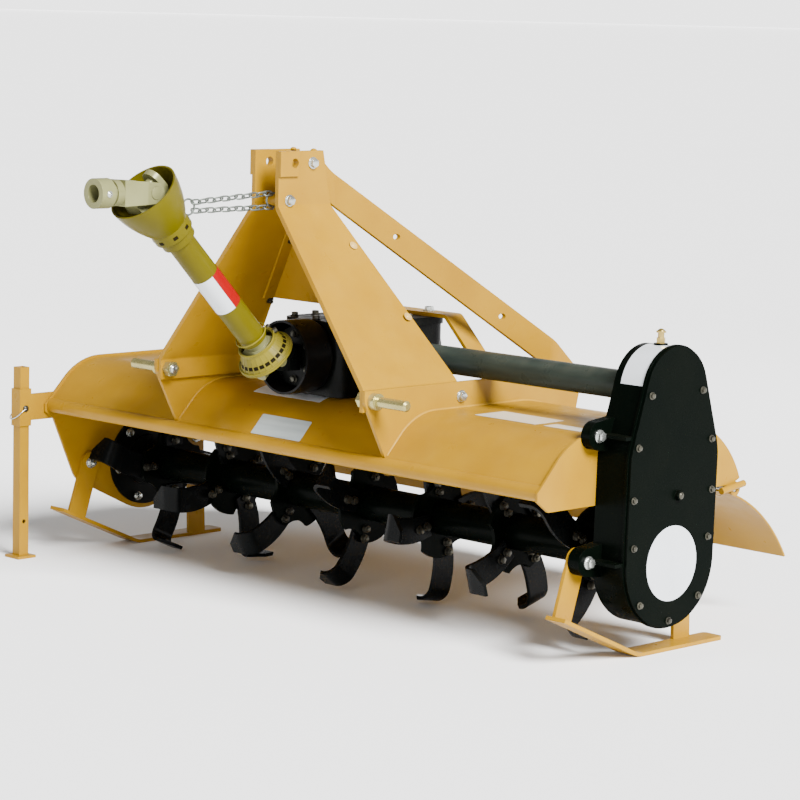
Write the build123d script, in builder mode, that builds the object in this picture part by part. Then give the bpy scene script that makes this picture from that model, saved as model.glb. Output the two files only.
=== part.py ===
from build123d import *
from math import atan2, cos, degrees, hypot, radians, sin, sqrt, tan
import os

# Rear-mounted rotary tiller for a small tractor.  Millimetres, +Z up, floor at Z = 0.
# The tractor stands on the -Y side, the chain case is on the +X side, the parking stand on -X.
# The origin is the middle of the overall box on the floor.  Lateral sizes are measured from
# the mast centre plane MID_X, fore-and-aft sizes from the rotor axis AXIS_Y.

SEAT = 0.3               # room between curved faces that only rest on each other
RUN_CLEAR = 0.08         # radial room of a shaft or pin in its bore

# ---- rotor ---------------------------------------------------------------------------
TINE_REACH = 192.0       # tine tips from the rotor axis
TIP_CLEAR = 6.0          # tips stay this far above the skid soles
TINE_T = 8.0             # spring steel of the tines
TINE_BLADE = 62.0        # sideways reach of a blade
TINE_BEND_R = 26.0
BLADE_RISE = 179.0       # middle of the blade's thickness from the axis
BLADE_LEAN = 24.0        # blade turned back about the rotor axis
SHANK_HALF = 24.0        # half width of a tine where it is bolted
SHANK_FOOT = 46.0        # inner end of a tine from the axis
SHANK_FRONT = (-14.0, 130.0)   # middle of the convex cutting edge
SHANK_REAR = (38.0, 110.0)     # middle of the concave back
TIP_FRONT = 22.0         # cutting edge at full reach, back from the radius
TIP_REAR = 78.0
POINT_W = 42.0           # where the blade's slanted end leaves its outer side
TINE_STEP = 26.0         # each flange's tines are turned this far on from the last
ROTOR_TUBE_R = 38.0
FLANGE_R = 88.0
FLANGE_T = 8.0
FLANGE_COUNT = 7
END_FLANGE_IN = 76.0     # end flanges from the tube's ends
SCALLOP_R = 46.0         # hollows in a flange's edge between the tines
SCALLOP_OUT = 116.0
STUB_R = 25.0
STUB_LEFT = 20.0         # stub shaft past the left end plate
STUB_RIGHT = 30.0        # stub shaft into the chain case
ROTOR_GAP = 8.0          # tube ends to the bearing flange

# ---- deck and end plates ---------------------------------------------------------------
DECK_HALF = 756.0        # half width of the deck sheet
SHEET_T = 5.0
HOOD_CLEAR = 58.0        # deck top over the tine sweep
DECK_SLOPE = 46.7        # angle of the straight front slope
SLOPE_LEN = 58.0
FRONT_ARC_R = 139.0      # bend between slope and top
FRONT_ARC_Y = -134.0     # where that bend reaches the top
REAR_ARC_R = 208.0       # rear curve of the deck
REAR_ARC_Y = 122.0       # where the rear curve starts
REAR_ARC_END = 22.6      # angle at which the rear curve stops
LIP_R = 16.0             # rounded front lip
PLATE_T = 6.0            # end plate thickness
PLATE_PROUD = 5.0        # end plates stand this far above the sheet
PLATE_DROP = 138.0       # deck top down to the short end plate's lower edge
PLATE_CORNER_R = 12.0
LOBE_R = 116.0           # round lower lobe of the left end plate
BOLT_LOBE_R = 49.0       # and round the skid's front bolt
REAR_LOBE_R = 36.0       # and round its rear bolt
BEARING_R = 105.0        # bearing flange
BEARING_T = 12.0
BEARING_RIM = 5.0        # wall of the bearing housing round the stub
BEARING_STEP_R = 58.0
BEARING_STEP = 6.0
PEG_R = 7.0              # round bar welded to the end plates behind the hinge
PEG_FOOT = (252.0, -147.0)     # fore-and-aft place, and height from the deck top
PEG_TIP = (324.0, -137.0)

# ---- hitch -----------------------------------------------------------------------------
SHOULDER_HALF = 341.5    # category 1: 683 mm between the pin shoulders
PIN_R = 11.0             # category 1 lower pin
PIN_LEN = 83.0
PIN_TIP = 4.0            # chamfer at its end
PIN_HOLE_R = 5.5         # for the linch pin
PIN_HOLE_IN = 17.0
PIN_COLLAR_R = 17.0
PIN_COLLAR_T = 15.5
PIN_NUT_T = 17.0
HITCH_Y = -311.0
HITCH_RISE = 32.0        # lower pins above the deck top
MAST_RISE = 459.0        # category 1: lower pins up to the top-link hole
TOP_HOLE_R = 9.75        # 19 mm top-link pin with its clearance
TOP_HOLE_Y = -278.0
SIDE_T = 8.0             # side plate thickness
TUBE_GAP = 1.5           # side plates end this far under the side tube
SIDE_REAR = 318.0
SIDE_FRONT = -335.0
SIDE_NOSE = 24.0         # straight part of the side plate's front edge
SIDE_TAIL = 38.0         # rear curve angle at which the side plate leaves the deck
LEG_T = 10.0             # mast leg plate
LEG_BEND_R = 14.0
HEAD_GAP = 62.0          # between the two head plates
HEAD_RISE = 25.0         # head top above the top-link hole
HEAD_DROP = 90.0         # top-link hole down to the bend
LEG_TAIL = 44.5          # leg below its lower bend
HEAD_FRONT = -318.0
HEAD_REAR = -194.0
BEND_REAR = -170.0
LEG_FRONT = -332.0
LEG_REAR = -63.0
DOUBLER_T = 6.0
DOUBLER_DEPTH = 52.0
SLEEVE_R = 12.0
SLEEVE_BORE = 7.0
SLEEVE_Y = -283.0
SLEEVE_DROP = 77.0       # below the top-link hole
BRACE_T = 8.0
BRACE_W = 50.0
BRACE_BEND_R = 30.0
BRACE_TOP_Y = -212.0     # upper bolt
BRACE_TOP_DROP = 7.0     # below the top-link hole
BRACE_SETS_OUT = -158.0  # first bend
BRACE_SETS_IN = 236.0    # second bend
BRACE_FOOT_RISE = 0.0    # middle of the bar at the second bend, above the side tube's middle
BRACE_HOLE_R = 6.0
BRACE_HOLES = (-46.0, 140.0)   # spare holes along the bar
CROSS_T = 6.0            # folded plate between the legs
CROSS_LIP = 34.0         # its folded sides
CROSS_DROP = 59.0        # its top below the upper bend
CROSS_H = 158.0

# ---- gearbox and side drive ---------------------------------------------------------------
INPUT_RISE = 84.0        # input shaft and side tube above the deck top
CASE_TOP_Y = 4.0         # side tube and upper case centre
BOX_HALF = 92.0          # gearbox half width
BOX_FRONT = -180.0
BOX_REAR = 136.0
BOX_CORNER_R = 34.0
BOX_LID_H = 16.0         # bolted lid
BOX_LID_PROUD = 6.0
BOX_RISE = 74.0          # lid's top above the input shaft
BOX_PAD = 18.0           # cast feet
BOX_PAD_W = 224.0
BOX_PAD_L = 200.0
NOSE_R = 62.0            # round nose behind the cup
NOSE_L = 46.0
TUBE_FLANGE_R = 52.0
TUBE_FLANGE_T = 14.0
CUP_R = 78.0             # round shield on the gearbox front
CUP_T = 5.0
CUP_L = 82.0
CUP_ROUND = 16.0
COVER_T = 14.0           # rear cover
COVER_R = 66.0
TUBE_R = 29.0            # side tube
STRAP_W = 50.0
STRAP_T = 8.0
STRAP_HALF = 132.0
STRAP_TOE = 26.0         # turned-out ends on the deck
STRAP_CLEAR = 2.0        # their ends from the side plates
STRAP_BEND_R = 14.0

# ---- chain case ---------------------------------------------------------------------------
CASE_LOW_R = 130.0
CASE_HIGH_R = 89.0
CASE_WAIST = 197.0       # wide part above the rotor axis
CASE_T = 82.0
CASE_RIM = 6.0           # flange under the cover
CASE_RIM_OUT = 4.0
CASE_COVER_T = 6.0
COVER_INSET = 3.0
CASE_BORE = 40.0
PLUG_Y = 17.0
PLUG_RISE = 130.0
PLUG_R = 11.0
PLUG_T = 8.0
LUG_R = 28.0
LUG_T = 22.0
LUG_ROOT = 0.62          # root of a lug, as a share of its distance from the axis
LUG_RIB = 7.0
LUG_RIB_IN = 10.0
CASE_LUG = (-148.0, 253.0)     # upper lug: fore-and-aft place, height above the rotor axis
BREATHER_R = 9.0
BREATHER_H = 22.0
BOSS_R = 14.0
BOSS_RISE = 3.0

# ---- skids and stand -------------------------------------------------------------------------
SKID_W = 50.0
SKID_T = 8.0
SKID_TIP = (-245.0, 98.0)
SKID_BEND_Y = -22.0
SKID_BEND_R = 60.0
SKID_TAIL_Y = 240.0
SKID_CORNER_R = 10.0
SKID_BOLT = (-168.0, 7.0)      # front bolt, height above the rotor axis
SKID_REAR_BOLT = (150.0, 40.0)
SKID_FOOT_Y = -206.0
SKID_REAR_FOOT_Y = 158.0
LEG_SIDE = 25.4          # stand's square leg
LEG_WALL = 3.0
SLEEVE_SIDE = 31.8
LEG_CLEAR = 0.4
STAND_Y = -346.0
SLEEVE_DEPTH = 60.0      # sleeve's top below the deck top
SLEEVE_H = 85.0
LEG_OVER = 49.0          # leg above the sleeve
STAND_PIN_IN = 40.0      # pin above the sleeve's lower end
STAND_PIN_R = 4.0
STAND_PIN_L = 12.0
STAND_HOLE_R = 4.5
SPARE_HOLE_Z = 84.0
BRACKET_T = 8.0
BRACKET_H = 60.0
BRACKET_REAR = -262.0
FOOT_SIDE = 50.0
FOOT_T = 6.0

# ---- tailgate -----------------------------------------------------------------------------------------
GATE_T = 4.0
GATE_IN = 21.0           # gate ends inside the deck's ends
HINGE_Y = 306.0
HINGE_DROP = 148.0       # hinge rod below the deck top
HINGE_ROD_R = 7.0
ROD_IN = 2.0             # rod ends inside the end plates' outer faces
EAR_R = 15.0
GATE_ARC_R = 358.0
GATE_ARC_START = 74.5
GATE_ARC_SWEEP = 43.5
KNUCKLE_R = 11.0         # rolled eyes of the gate on its rod
KNUCKLE_W = 60.0
KNUCKLES = (-600.0, -200.0, 200.0, 600.0)

# ---- driveline ----------------------------------------------------------------------------------------------
SHAFT_TILT = 46.0        # driveline angle while it hangs from its chain
INNER_REACH = 120.0      # inner joint in front of the gearbox
JOINT_SPAN = 494.0       # between the two joint centres
CORE_R = 22.0            # telescoping shaft
FORK_HALF = 42.0         # outer faces of a fork's ears
FORK_EAR_T = 13.0
EAR_EYE_R = 21.0
FORK_DEPTH = 52.0        # joint centre to the bottom of the outer forks
FORK_NECK = 66.0         # joint centre to their hubs
CORE_FORK_DEPTH = 34.0   # the same of the shaft's own forks
CORE_FORK_NECK = 44.0
HUB_R = 26.0
HUB_BORE = 17.5          # 35 mm tractor shaft
HUB_COLLAR_R = 30.0
HUB_COLLAR_L = 34.0
HUB_GROOVE = 4.0
HUB_GROOVE_L = 9.0
LOCK_HOLE_R = 6.0
YOKE_REACH = 125.0
CAP_R = 13.0             # bearing caps of the joint crosses
CROSS_R = 10.0
GUARD_R = 29.0           # guard tube
GUARD_WALL = 4.0
GUARD_IN = 60.0          # guard tube ends this far from each joint
BELL_R = 62.0            # ribbed bell at the gearbox end
BELL_START = 8.0
BELL_RIM = 7.0
BELL_SKIRT = 28.0
BELL_NECK_R = 42.0
BELL_COLLAR_R = 35.0
BELL_COLLAR_L = 24.0
BELL_WALL = 4.0
RIB_COUNT = 24
RIB_T = 3.0
RIB_IN = 1.5             # ribs are rooted this far inside the rim and neck
RIB_END = 2.0            # and reach this far along them
CONE_R = 74.0            # smooth cone at the tractor end
CONE_LEN = 92.0
CONE_BELLY_R = 66.0
CONE_BELLY = 40.0        # belly behind the mouth
CONE_NECK_R = 43.0
CONE_NECK_L = 24.0
CONE_COLLAR_R = 37.0
CONE_COLLAR_L = 20.0
CONE_WALL = 4.0

# ---- holding chain ------------------------------------------------------------------------------------
WIRE_T = 4.2             # chain wire
LINK_PITCH = 20.0
LINK_W = 17.0
LINK_PLAY = 1.5          # slack inside each link
LINK_CORNER = 0.3        # cut corners of a link, as a share of its width
LINK_LEAN = 45.0         # links lean to one side and the other in turn
BOW_REACH = 16.0         # legs of the bow that goes round the spacer sleeve
RING_R = 14.0            # inside of the ring that joins the strands
RING_SPREAD = 38.0       # angle at which each strand leaves the ring
CHAIN_HOOK = 106.0       # below the outer joint, along the shaft

# ---- derived positions -------------------------------------------------------------------------------------------
ROTOR_Z = TINE_REACH + TIP_CLEAR
DECK_TOP = ROTOR_Z + TINE_REACH + HOOD_CLEAR
PLATE_FOOT = DECK_TOP - PLATE_DROP
INPUT_Z = DECK_TOP + INPUT_RISE
HITCH_Z = DECK_TOP + HITCH_RISE
HINGE_Z = DECK_TOP - HINGE_DROP
TOP_HOLE_Z = HITCH_Z + MAST_RISE
HEAD_TOP = TOP_HOLE_Z + HEAD_RISE
HEAD_BEND = TOP_HOLE_Z - HEAD_DROP
SLEEVE_Z = TOP_HOLE_Z - SLEEVE_DROP
BRACE_TOP_Z = TOP_HOLE_Z - BRACE_TOP_DROP
BRACE_FOOT_Z = INPUT_Z + BRACE_FOOT_RISE
CROSS_TOP = HEAD_BEND - CROSS_DROP
SIDE_TOP = INPUT_Z - TUBE_R - TUBE_GAP
SIDE_OUT = SHOULDER_HALF - PIN_COLLAR_T
SIDE_IN = SIDE_OUT - SIDE_T
LEG_FOOT = SIDE_TOP - LEG_TAIL
HEAD_IN = HEAD_GAP / 2
HEAD_OUT = HEAD_IN + LEG_T
BOX_TOP = INPUT_Z + BOX_RISE
STRAP_FOOT = SIDE_IN - STRAP_TOE - STRAP_CLEAR
CUP_FRONT = BOX_FRONT - CUP_L
STRAP_REAR = BOX_REAR
CASE_IN = DECK_HALF + PLATE_T
CASE_OUT = CASE_IN + CASE_T
COVER_OUT = CASE_OUT + CASE_COVER_T
CASE_WIDE_Z = ROTOR_Z + CASE_WAIST
BREATHER_X = CASE_IN + CASE_T / 2
ROTOR_HALF = DECK_HALF - BEARING_T - ROTOR_GAP
FLANGE_PITCH = 2 * (ROTOR_HALF - END_FLANGE_IN) / (FLANGE_COUNT - 1)
GATE_HALF = DECK_HALF - GATE_IN
STAND_X = CASE_IN + SLEEVE_SIDE / 2
SLEEVE_HEAD = DECK_TOP - SLEEVE_DEPTH
SLEEVE_FOOT = SLEEVE_HEAD - SLEEVE_H
STAND_PIN_Z = SLEEVE_FOOT + STAND_PIN_IN
LEG_TOP = SLEEVE_HEAD + LEG_OVER
RIGHT_REACH = COVER_OUT + PLUG_T
LEFT_REACH = STAND_X + FOOT_SIDE / 2
MID_X = (LEFT_REACH - RIGHT_REACH) / 2
TILT = radians(SHAFT_TILT)
INNER_JOINT = (BOX_FRONT - INNER_REACH, INPUT_Z)
OUTER_JOINT = (INNER_JOINT[0] - JOINT_SPAN * cos(TILT), INNER_JOINT[1] + JOINT_SPAN * sin(TILT))
FRONT_REACH = YOKE_REACH - OUTER_JOINT[0]
GATE_CENTRE = (
    HINGE_Y - GATE_ARC_R * cos(radians(GATE_ARC_START)),
    HINGE_Z - HINGE_ROD_R - GATE_ARC_R * sin(radians(GATE_ARC_START)),
)
REAR_REACH = GATE_CENTRE[0] + GATE_ARC_R * cos(radians(GATE_ARC_START - GATE_ARC_SWEEP))
AXIS_Y = (FRONT_REACH - REAR_REACH) / 2
CASE_Y = AXIS_Y + CASE_TOP_Y
SIDES = (("left", -1), ("right", 1))


def at_x(x):
    """Plane facing +X at the lateral position x, with global Y and Z as its own axes."""
    return Plane.YZ.offset(MID_X + x)


def at_y(y):
    """Plane facing -Y at the fore-and-aft position y, with global X and Z as its own axes."""
    return Plane.XZ.offset(-(AXIS_Y + y))


def yz(y, z):
    """Point of an at_x plane from a fore-and-aft position and a height."""
    return (AXIS_Y + y, z)


def span_x(side, near, far):
    """Starting plane position and thickness of a plate between two lateral distances."""
    return min(side * near, side * far), abs(far - near)


def save(name, label):
    """Label one finished piece and write its STEP file."""
    name.part.label = label
    export_step(name.part, "parts/" + label + ".step")


os.makedirs("parts", exist_ok=True)

# ---- deck ---------------------------------------------------------------------------------------------------------
slope = radians(DECK_SLOPE)
front_centre = (FRONT_ARC_Y, DECK_TOP - FRONT_ARC_R)
rear_centre = (REAR_ARC_Y, DECK_TOP - REAR_ARC_R)


def deck_points(inset):
    """Crease, slope end, and rear end of the deck outline moved inwards by inset."""
    front_r = FRONT_ARC_R - inset
    rear_r = REAR_ARC_R - inset
    bend = (front_centre[0] - front_r * sin(slope), front_centre[1] + front_r * cos(slope))
    crease = (bend[0] - SLOPE_LEN * cos(slope), bend[1] - SLOPE_LEN * sin(slope))
    end = radians(REAR_ARC_END)
    rear = (rear_centre[0] + rear_r * cos(end), rear_centre[1] + rear_r * sin(end))
    return crease, bend, rear


crease, bend, rear_end = deck_points(0)
lip_centre = (crease[0], crease[1] - LIP_R)

with BuildPart() as deck_shell:
    with BuildSketch(at_x(-DECK_HALF)):
        middle_crease, middle_bend, _ = deck_points(SHEET_T / 2)
        with BuildLine():
            Line(yz(*middle_crease), yz(*middle_bend))
            CenterArc(yz(*front_centre), FRONT_ARC_R - SHEET_T / 2, 90, DECK_SLOPE)
            Line(yz(FRONT_ARC_Y, DECK_TOP - SHEET_T / 2), yz(REAR_ARC_Y, DECK_TOP - SHEET_T / 2))
            CenterArc(yz(*rear_centre), REAR_ARC_R - SHEET_T / 2, REAR_ARC_END, 90 - REAR_ARC_END)
        trace(line_width=SHEET_T)
        with Locations(yz(*lip_centre)):
            Circle(LIP_R)
            Circle(LIP_R - SHEET_T, mode=Mode.SUBTRACT)
    extrude(amount=2 * DECK_HALF)
save(deck_shell, "deck_shell")


def plate_crown():
    """Upper outline of an end plate: the deck profile, slightly proud, down to its short foot."""
    crease_p, bend_p, rear_p = deck_points(-PLATE_PROUD)
    nose = (crease_p[0] - LIP_R, crease_p[1] - LIP_R)
    with BuildSketch() as crown:
        with BuildLine():
            Polyline(yz(*bend_p), yz(*crease_p), yz(*nose), yz(nose[0], nose[1] - LIP_R),
                     yz(nose[0] + 2 * LIP_R, PLATE_FOOT), yz(HINGE_Y - EAR_R, PLATE_FOOT), yz(*rear_p))
            CenterArc(yz(*front_centre), FRONT_ARC_R + PLATE_PROUD, 90, DECK_SLOPE)
            Line(yz(FRONT_ARC_Y, DECK_TOP + PLATE_PROUD), yz(REAR_ARC_Y, DECK_TOP + PLATE_PROUD))
            CenterArc(yz(*rear_centre), REAR_ARC_R + PLATE_PROUD, REAR_ARC_END, 90 - REAR_ARC_END)
        make_face()
        with Locations(yz(HINGE_Y - EAR_R, HINGE_Z + EAR_R)):
            Rectangle(2 * EAR_R, 2 * EAR_R)
        with Locations(yz(HINGE_Y, HINGE_Z)):
            Circle(EAR_R)
            Circle(HINGE_ROD_R + RUN_CLEAR, mode=Mode.SUBTRACT)
    return crown.sketch


def plate_skirt():
    """Deep lower outline of the left end plate: round the rotor bearing and the skid's bolts."""
    with BuildSketch() as skirt:
        with BuildLine():
            CenterArc(yz(0, ROTOR_Z), LOBE_R, 0, 360)
            CenterArc(yz(SKID_BOLT[0], ROTOR_Z + SKID_BOLT[1]), BOLT_LOBE_R, 0, 360)
            CenterArc(yz(SKID_REAR_BOLT[0], ROTOR_Z + SKID_REAR_BOLT[1]), REAR_LOBE_R, 0, 360)
            Line(yz(crease[0], PLATE_FOOT + LIP_R), yz(REAR_ARC_Y + REAR_ARC_R / 2, PLATE_FOOT + LIP_R))
        make_hull()
        with Locations(yz(0, ROTOR_Z)):
            Circle(STUB_R + BEARING_RIM + SEAT, mode=Mode.SUBTRACT)
    return skirt.sketch


for tag, side in SIDES:
    start, wide = span_x(side, DECK_HALF, DECK_HALF + PLATE_T)
    with BuildPart() as end_plate:
        with BuildSketch(at_x(start)):
            add(plate_crown())
            if tag == "left":
                add(plate_skirt())
        extrude(amount=wide)
        run = atan2(PEG_TIP[1] - PEG_FOOT[1], PEG_TIP[0] - PEG_FOOT[0])
        length = hypot(PEG_TIP[1] - PEG_FOOT[1], PEG_TIP[0] - PEG_FOOT[0])
        with BuildSketch(Plane(
            origin=(MID_X + side * (CASE_IN + PEG_R - SEAT), AXIS_Y + PEG_FOOT[0], DECK_TOP + PEG_FOOT[1]),
            x_dir=(1, 0, 0),
            z_dir=(0, cos(run), sin(run)),
        )):
            Circle(PEG_R)
        extrude(amount=length)
    save(end_plate, "end_plate_" + tag)

with BuildPart() as bearing_flange:
    with BuildSketch(at_x(-DECK_HALF)):
        with Locations(yz(0, ROTOR_Z)):
            Circle(BEARING_R)
    extrude(amount=BEARING_T - BEARING_STEP)
    with BuildSketch(at_x(-DECK_HALF)):
        with Locations(yz(0, ROTOR_Z)):
            Circle(BEARING_STEP_R)
    extrude(amount=BEARING_T)
    with BuildSketch(at_x(-CASE_IN - STUB_LEFT)):
        with Locations(yz(0, ROTOR_Z)):
            Circle(STUB_R + BEARING_RIM)
    extrude(amount=STUB_LEFT + PLATE_T)
    with BuildSketch(at_x(-CASE_IN - STUB_LEFT)):
        with Locations(yz(0, ROTOR_Z)):
            Circle(STUB_R + RUN_CLEAR)
    extrude(amount=STUB_LEFT + PLATE_T + BEARING_T, mode=Mode.SUBTRACT)
save(bearing_flange, "bearing_flange")

# ---- hitch side plates, mast legs, braces ----------------------------------------------------------------------
HEAD_MID = HEAD_IN + LEG_T / 2
SIDE_MID = SIDE_IN - LEG_T / 2
leg_lean = atan2(SIDE_MID - HEAD_MID, HEAD_BEND - SIDE_TOP)
brace_fall = (BRACE_TOP_Z - BRACE_FOOT_Z) / (BRACE_SETS_IN - BRACE_TOP_Y)


def brace_z(y):
    """Height of the middle of a brace at a fore-and-aft position."""
    return BRACE_TOP_Z - brace_fall * (y - BRACE_TOP_Y)


for tag, side in SIDES:
    start, wide = span_x(side, SIDE_IN, SIDE_OUT)
    with BuildPart() as side_plate:
        with BuildSketch(at_x(start)):
            with BuildLine():
                Polyline(yz(SIDE_FRONT, SIDE_TOP), yz(SIDE_FRONT, SIDE_TOP - SIDE_NOSE),
                         yz(*crease), yz(*bend))
                CenterArc(yz(*front_centre), FRONT_ARC_R, 90, DECK_SLOPE)
                Line(yz(FRONT_ARC_Y, DECK_TOP), yz(REAR_ARC_Y, DECK_TOP))
                tail = CenterArc(yz(*rear_centre), REAR_ARC_R, SIDE_TAIL, 90 - SIDE_TAIL)
                Polyline(tail @ 0, yz(SIDE_REAR, SIDE_TOP), yz(SIDE_FRONT, SIDE_TOP))
            make_face()
            with Locations(yz(HITCH_Y, HITCH_Z)):
                Circle(PIN_R, mode=Mode.SUBTRACT)
        extrude(amount=wide)
    save(side_plate, "side_plate_" + tag)

    with BuildPart() as mast_leg:
        with BuildSketch(at_y(0)):
            with BuildLine():
                FilletPolyline(
                    (MID_X + side * HEAD_MID, HEAD_TOP),
                    (MID_X + side * HEAD_MID, HEAD_BEND),
                    (MID_X + side * SIDE_MID, SIDE_TOP),
                    (MID_X + side * SIDE_MID, LEG_FOOT),
                    radius=LEG_BEND_R,
                )
            trace(line_width=LEG_T)
        extrude(amount=HITCH_Z, both=True)
        with BuildSketch(at_x(side * SIDE_OUT / 2)):
            with BuildLine():
                Polyline(yz(HEAD_FRONT, HEAD_TOP), yz(HEAD_REAR, HEAD_TOP), yz(BEND_REAR, HEAD_BEND),
                         yz(LEG_REAR, SIDE_TOP), yz(LEG_REAR, LEG_FOOT), yz(LEG_FRONT, LEG_FOOT),
                         yz(LEG_FRONT, SIDE_TOP), yz(HEAD_FRONT, HEAD_BEND), close=True)
            make_face()
        extrude(amount=SIDE_OUT, both=True, mode=Mode.INTERSECT)
        start, wide = span_x(side, HEAD_OUT, HEAD_OUT + DOUBLER_T)
        with BuildSketch(at_x(start)):
            with Locations(yz(HEAD_FRONT + DOUBLER_DEPTH / 2, HEAD_TOP - DOUBLER_DEPTH / 2)):
                Rectangle(DOUBLER_DEPTH, DOUBLER_DEPTH)
        extrude(amount=wide)
        with BuildSketch(at_x(side * HEAD_OUT)):
            with Locations(yz(TOP_HOLE_Y, TOP_HOLE_Z)):
                Circle(TOP_HOLE_R)
        extrude(amount=HEAD_OUT / 2, both=True, mode=Mode.SUBTRACT)
        with BuildSketch(at_x(side * SIDE_IN)):
            with Locations(yz(HITCH_Y, HITCH_Z)):
                Circle(PIN_R)
        extrude(amount=2 * LEG_T, both=True, mode=Mode.SUBTRACT)
    save(mast_leg, "mast_leg_" + tag)

    with BuildPart() as hitch_pin:
        with BuildSketch(at_x(side * (SIDE_IN - LEG_T))):
            with Locations(yz(HITCH_Y, HITCH_Z)):
                Circle(PIN_R)
        extrude(amount=side * (SHOULDER_HALF + PIN_LEN - SIDE_IN + LEG_T))
        tip = hitch_pin.faces().sort_by(Axis.X)[-1 if side > 0 else 0]
        chamfer(tip.edges(), PIN_TIP)
        with BuildSketch(at_x(side * SIDE_OUT)):
            with Locations(yz(HITCH_Y, HITCH_Z)):
                Circle(PIN_COLLAR_R)
        extrude(amount=side * PIN_COLLAR_T)
        with BuildSketch(at_x(side * (SIDE_IN - LEG_T))):
            with Locations(yz(HITCH_Y, HITCH_Z)):
                RegularPolygon(PIN_COLLAR_R, 6)
        extrude(amount=-side * PIN_NUT_T)
        with Locations((MID_X + side * (SHOULDER_HALF + PIN_LEN - PIN_HOLE_IN), AXIS_Y + HITCH_Y, HITCH_Z)):
            Cylinder(PIN_HOLE_R, 3 * PIN_R, mode=Mode.SUBTRACT)
    save(hitch_pin, "hitch_pin_" + tag)

    with BuildPart() as brace:
        with BuildSketch(Plane.XY):
            with BuildLine():
                FilletPolyline(
                    (MID_X + side * (HEAD_IN - BRACE_T / 2), AXIS_Y + BRACE_TOP_Y - BRACE_W),
                    (MID_X + side * (HEAD_IN - BRACE_T / 2), AXIS_Y + BRACE_SETS_OUT),
                    (MID_X + side * (SIDE_IN - BRACE_T / 2), AXIS_Y + BRACE_SETS_IN),
                    (MID_X + side * (SIDE_IN - BRACE_T / 2), AXIS_Y + SIDE_REAR + BRACE_W),
                    radius=BRACE_BEND_R,
                )
            trace(line_width=BRACE_T)
        extrude(amount=HEAD_TOP)
        with BuildSketch(at_x(side * SIDE_OUT / 2)):
            half_z = BRACE_W / 2 * hypot(1, brace_fall)
            with BuildLine():
                Polyline(yz(BRACE_TOP_Y, BRACE_TOP_Z + half_z), yz(BRACE_SETS_IN, BRACE_FOOT_Z + half_z),
                         yz(SIDE_REAR, BRACE_FOOT_Z - brace_fall * (SIDE_REAR - BRACE_SETS_IN) + half_z),
                         yz(SIDE_REAR, SIDE_TOP - BRACE_W),
                         yz(SIDE_REAR - BRACE_W, SIDE_TOP - BRACE_W),
                         yz(BRACE_SETS_IN, BRACE_FOOT_Z - half_z), yz(BRACE_TOP_Y, BRACE_TOP_Z - half_z),
                         close=True)
            make_face()
            with Locations(yz(BRACE_TOP_Y, BRACE_TOP_Z)):
                Circle(BRACE_W / 2)
            for hole_y in BRACE_HOLES:
                with Locations(yz(hole_y, brace_z(hole_y))):
                    Circle(BRACE_HOLE_R, mode=Mode.SUBTRACT)
        extrude(amount=SIDE_OUT, both=True, mode=Mode.INTERSECT)
    save(brace, "brace_" + tag)


def between_legs(inset, front, rear, over):
    """Slanted block between the two mast legs, with its front and rear set off from their rear edge."""
    half_top, half_foot = [
        HEAD_MID + (HEAD_BEND - z) * tan(leg_lean) - LEG_T / 2 / cos(leg_lean) - inset
        for z in (CROSS_TOP + over, CROSS_TOP - CROSS_H - over)
    ]
    with BuildPart() as block:
        with BuildSketch(at_y(0)):
            with BuildLine():
                Polyline((MID_X - half_top, CROSS_TOP + over), (MID_X + half_top, CROSS_TOP + over),
                         (MID_X + half_foot, CROSS_TOP - CROSS_H - over),
                         (MID_X - half_foot, CROSS_TOP - CROSS_H - over), close=True)
            make_face()
        extrude(amount=HITCH_Z, both=True)
        with BuildSketch(at_x(-SIDE_OUT)):
            with BuildLine():
                Polyline(yz(BEND_REAR - front, HEAD_BEND), yz(BEND_REAR - rear, HEAD_BEND),
                         yz(LEG_REAR - rear, SIDE_TOP), yz(LEG_REAR - front, SIDE_TOP), close=True)
            make_face()
        extrude(amount=2 * SIDE_OUT, mode=Mode.INTERSECT)
    return block.part


with BuildPart() as mast_cross:
    add(between_legs(0, CROSS_LIP, 0, 0))
    add(between_legs(CROSS_T, 2 * CROSS_LIP, CROSS_T, CROSS_T), mode=Mode.SUBTRACT)
save(mast_cross, "mast_cross")

with BuildPart() as spacer_sleeve:
    with BuildSketch(at_x(-HEAD_IN)):
        with Locations(yz(SLEEVE_Y, SLEEVE_Z)):
            Circle(SLEEVE_R)
            Circle(SLEEVE_BORE, mode=Mode.SUBTRACT)
    extrude(amount=HEAD_GAP)
save(spacer_sleeve, "spacer_sleeve")

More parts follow.
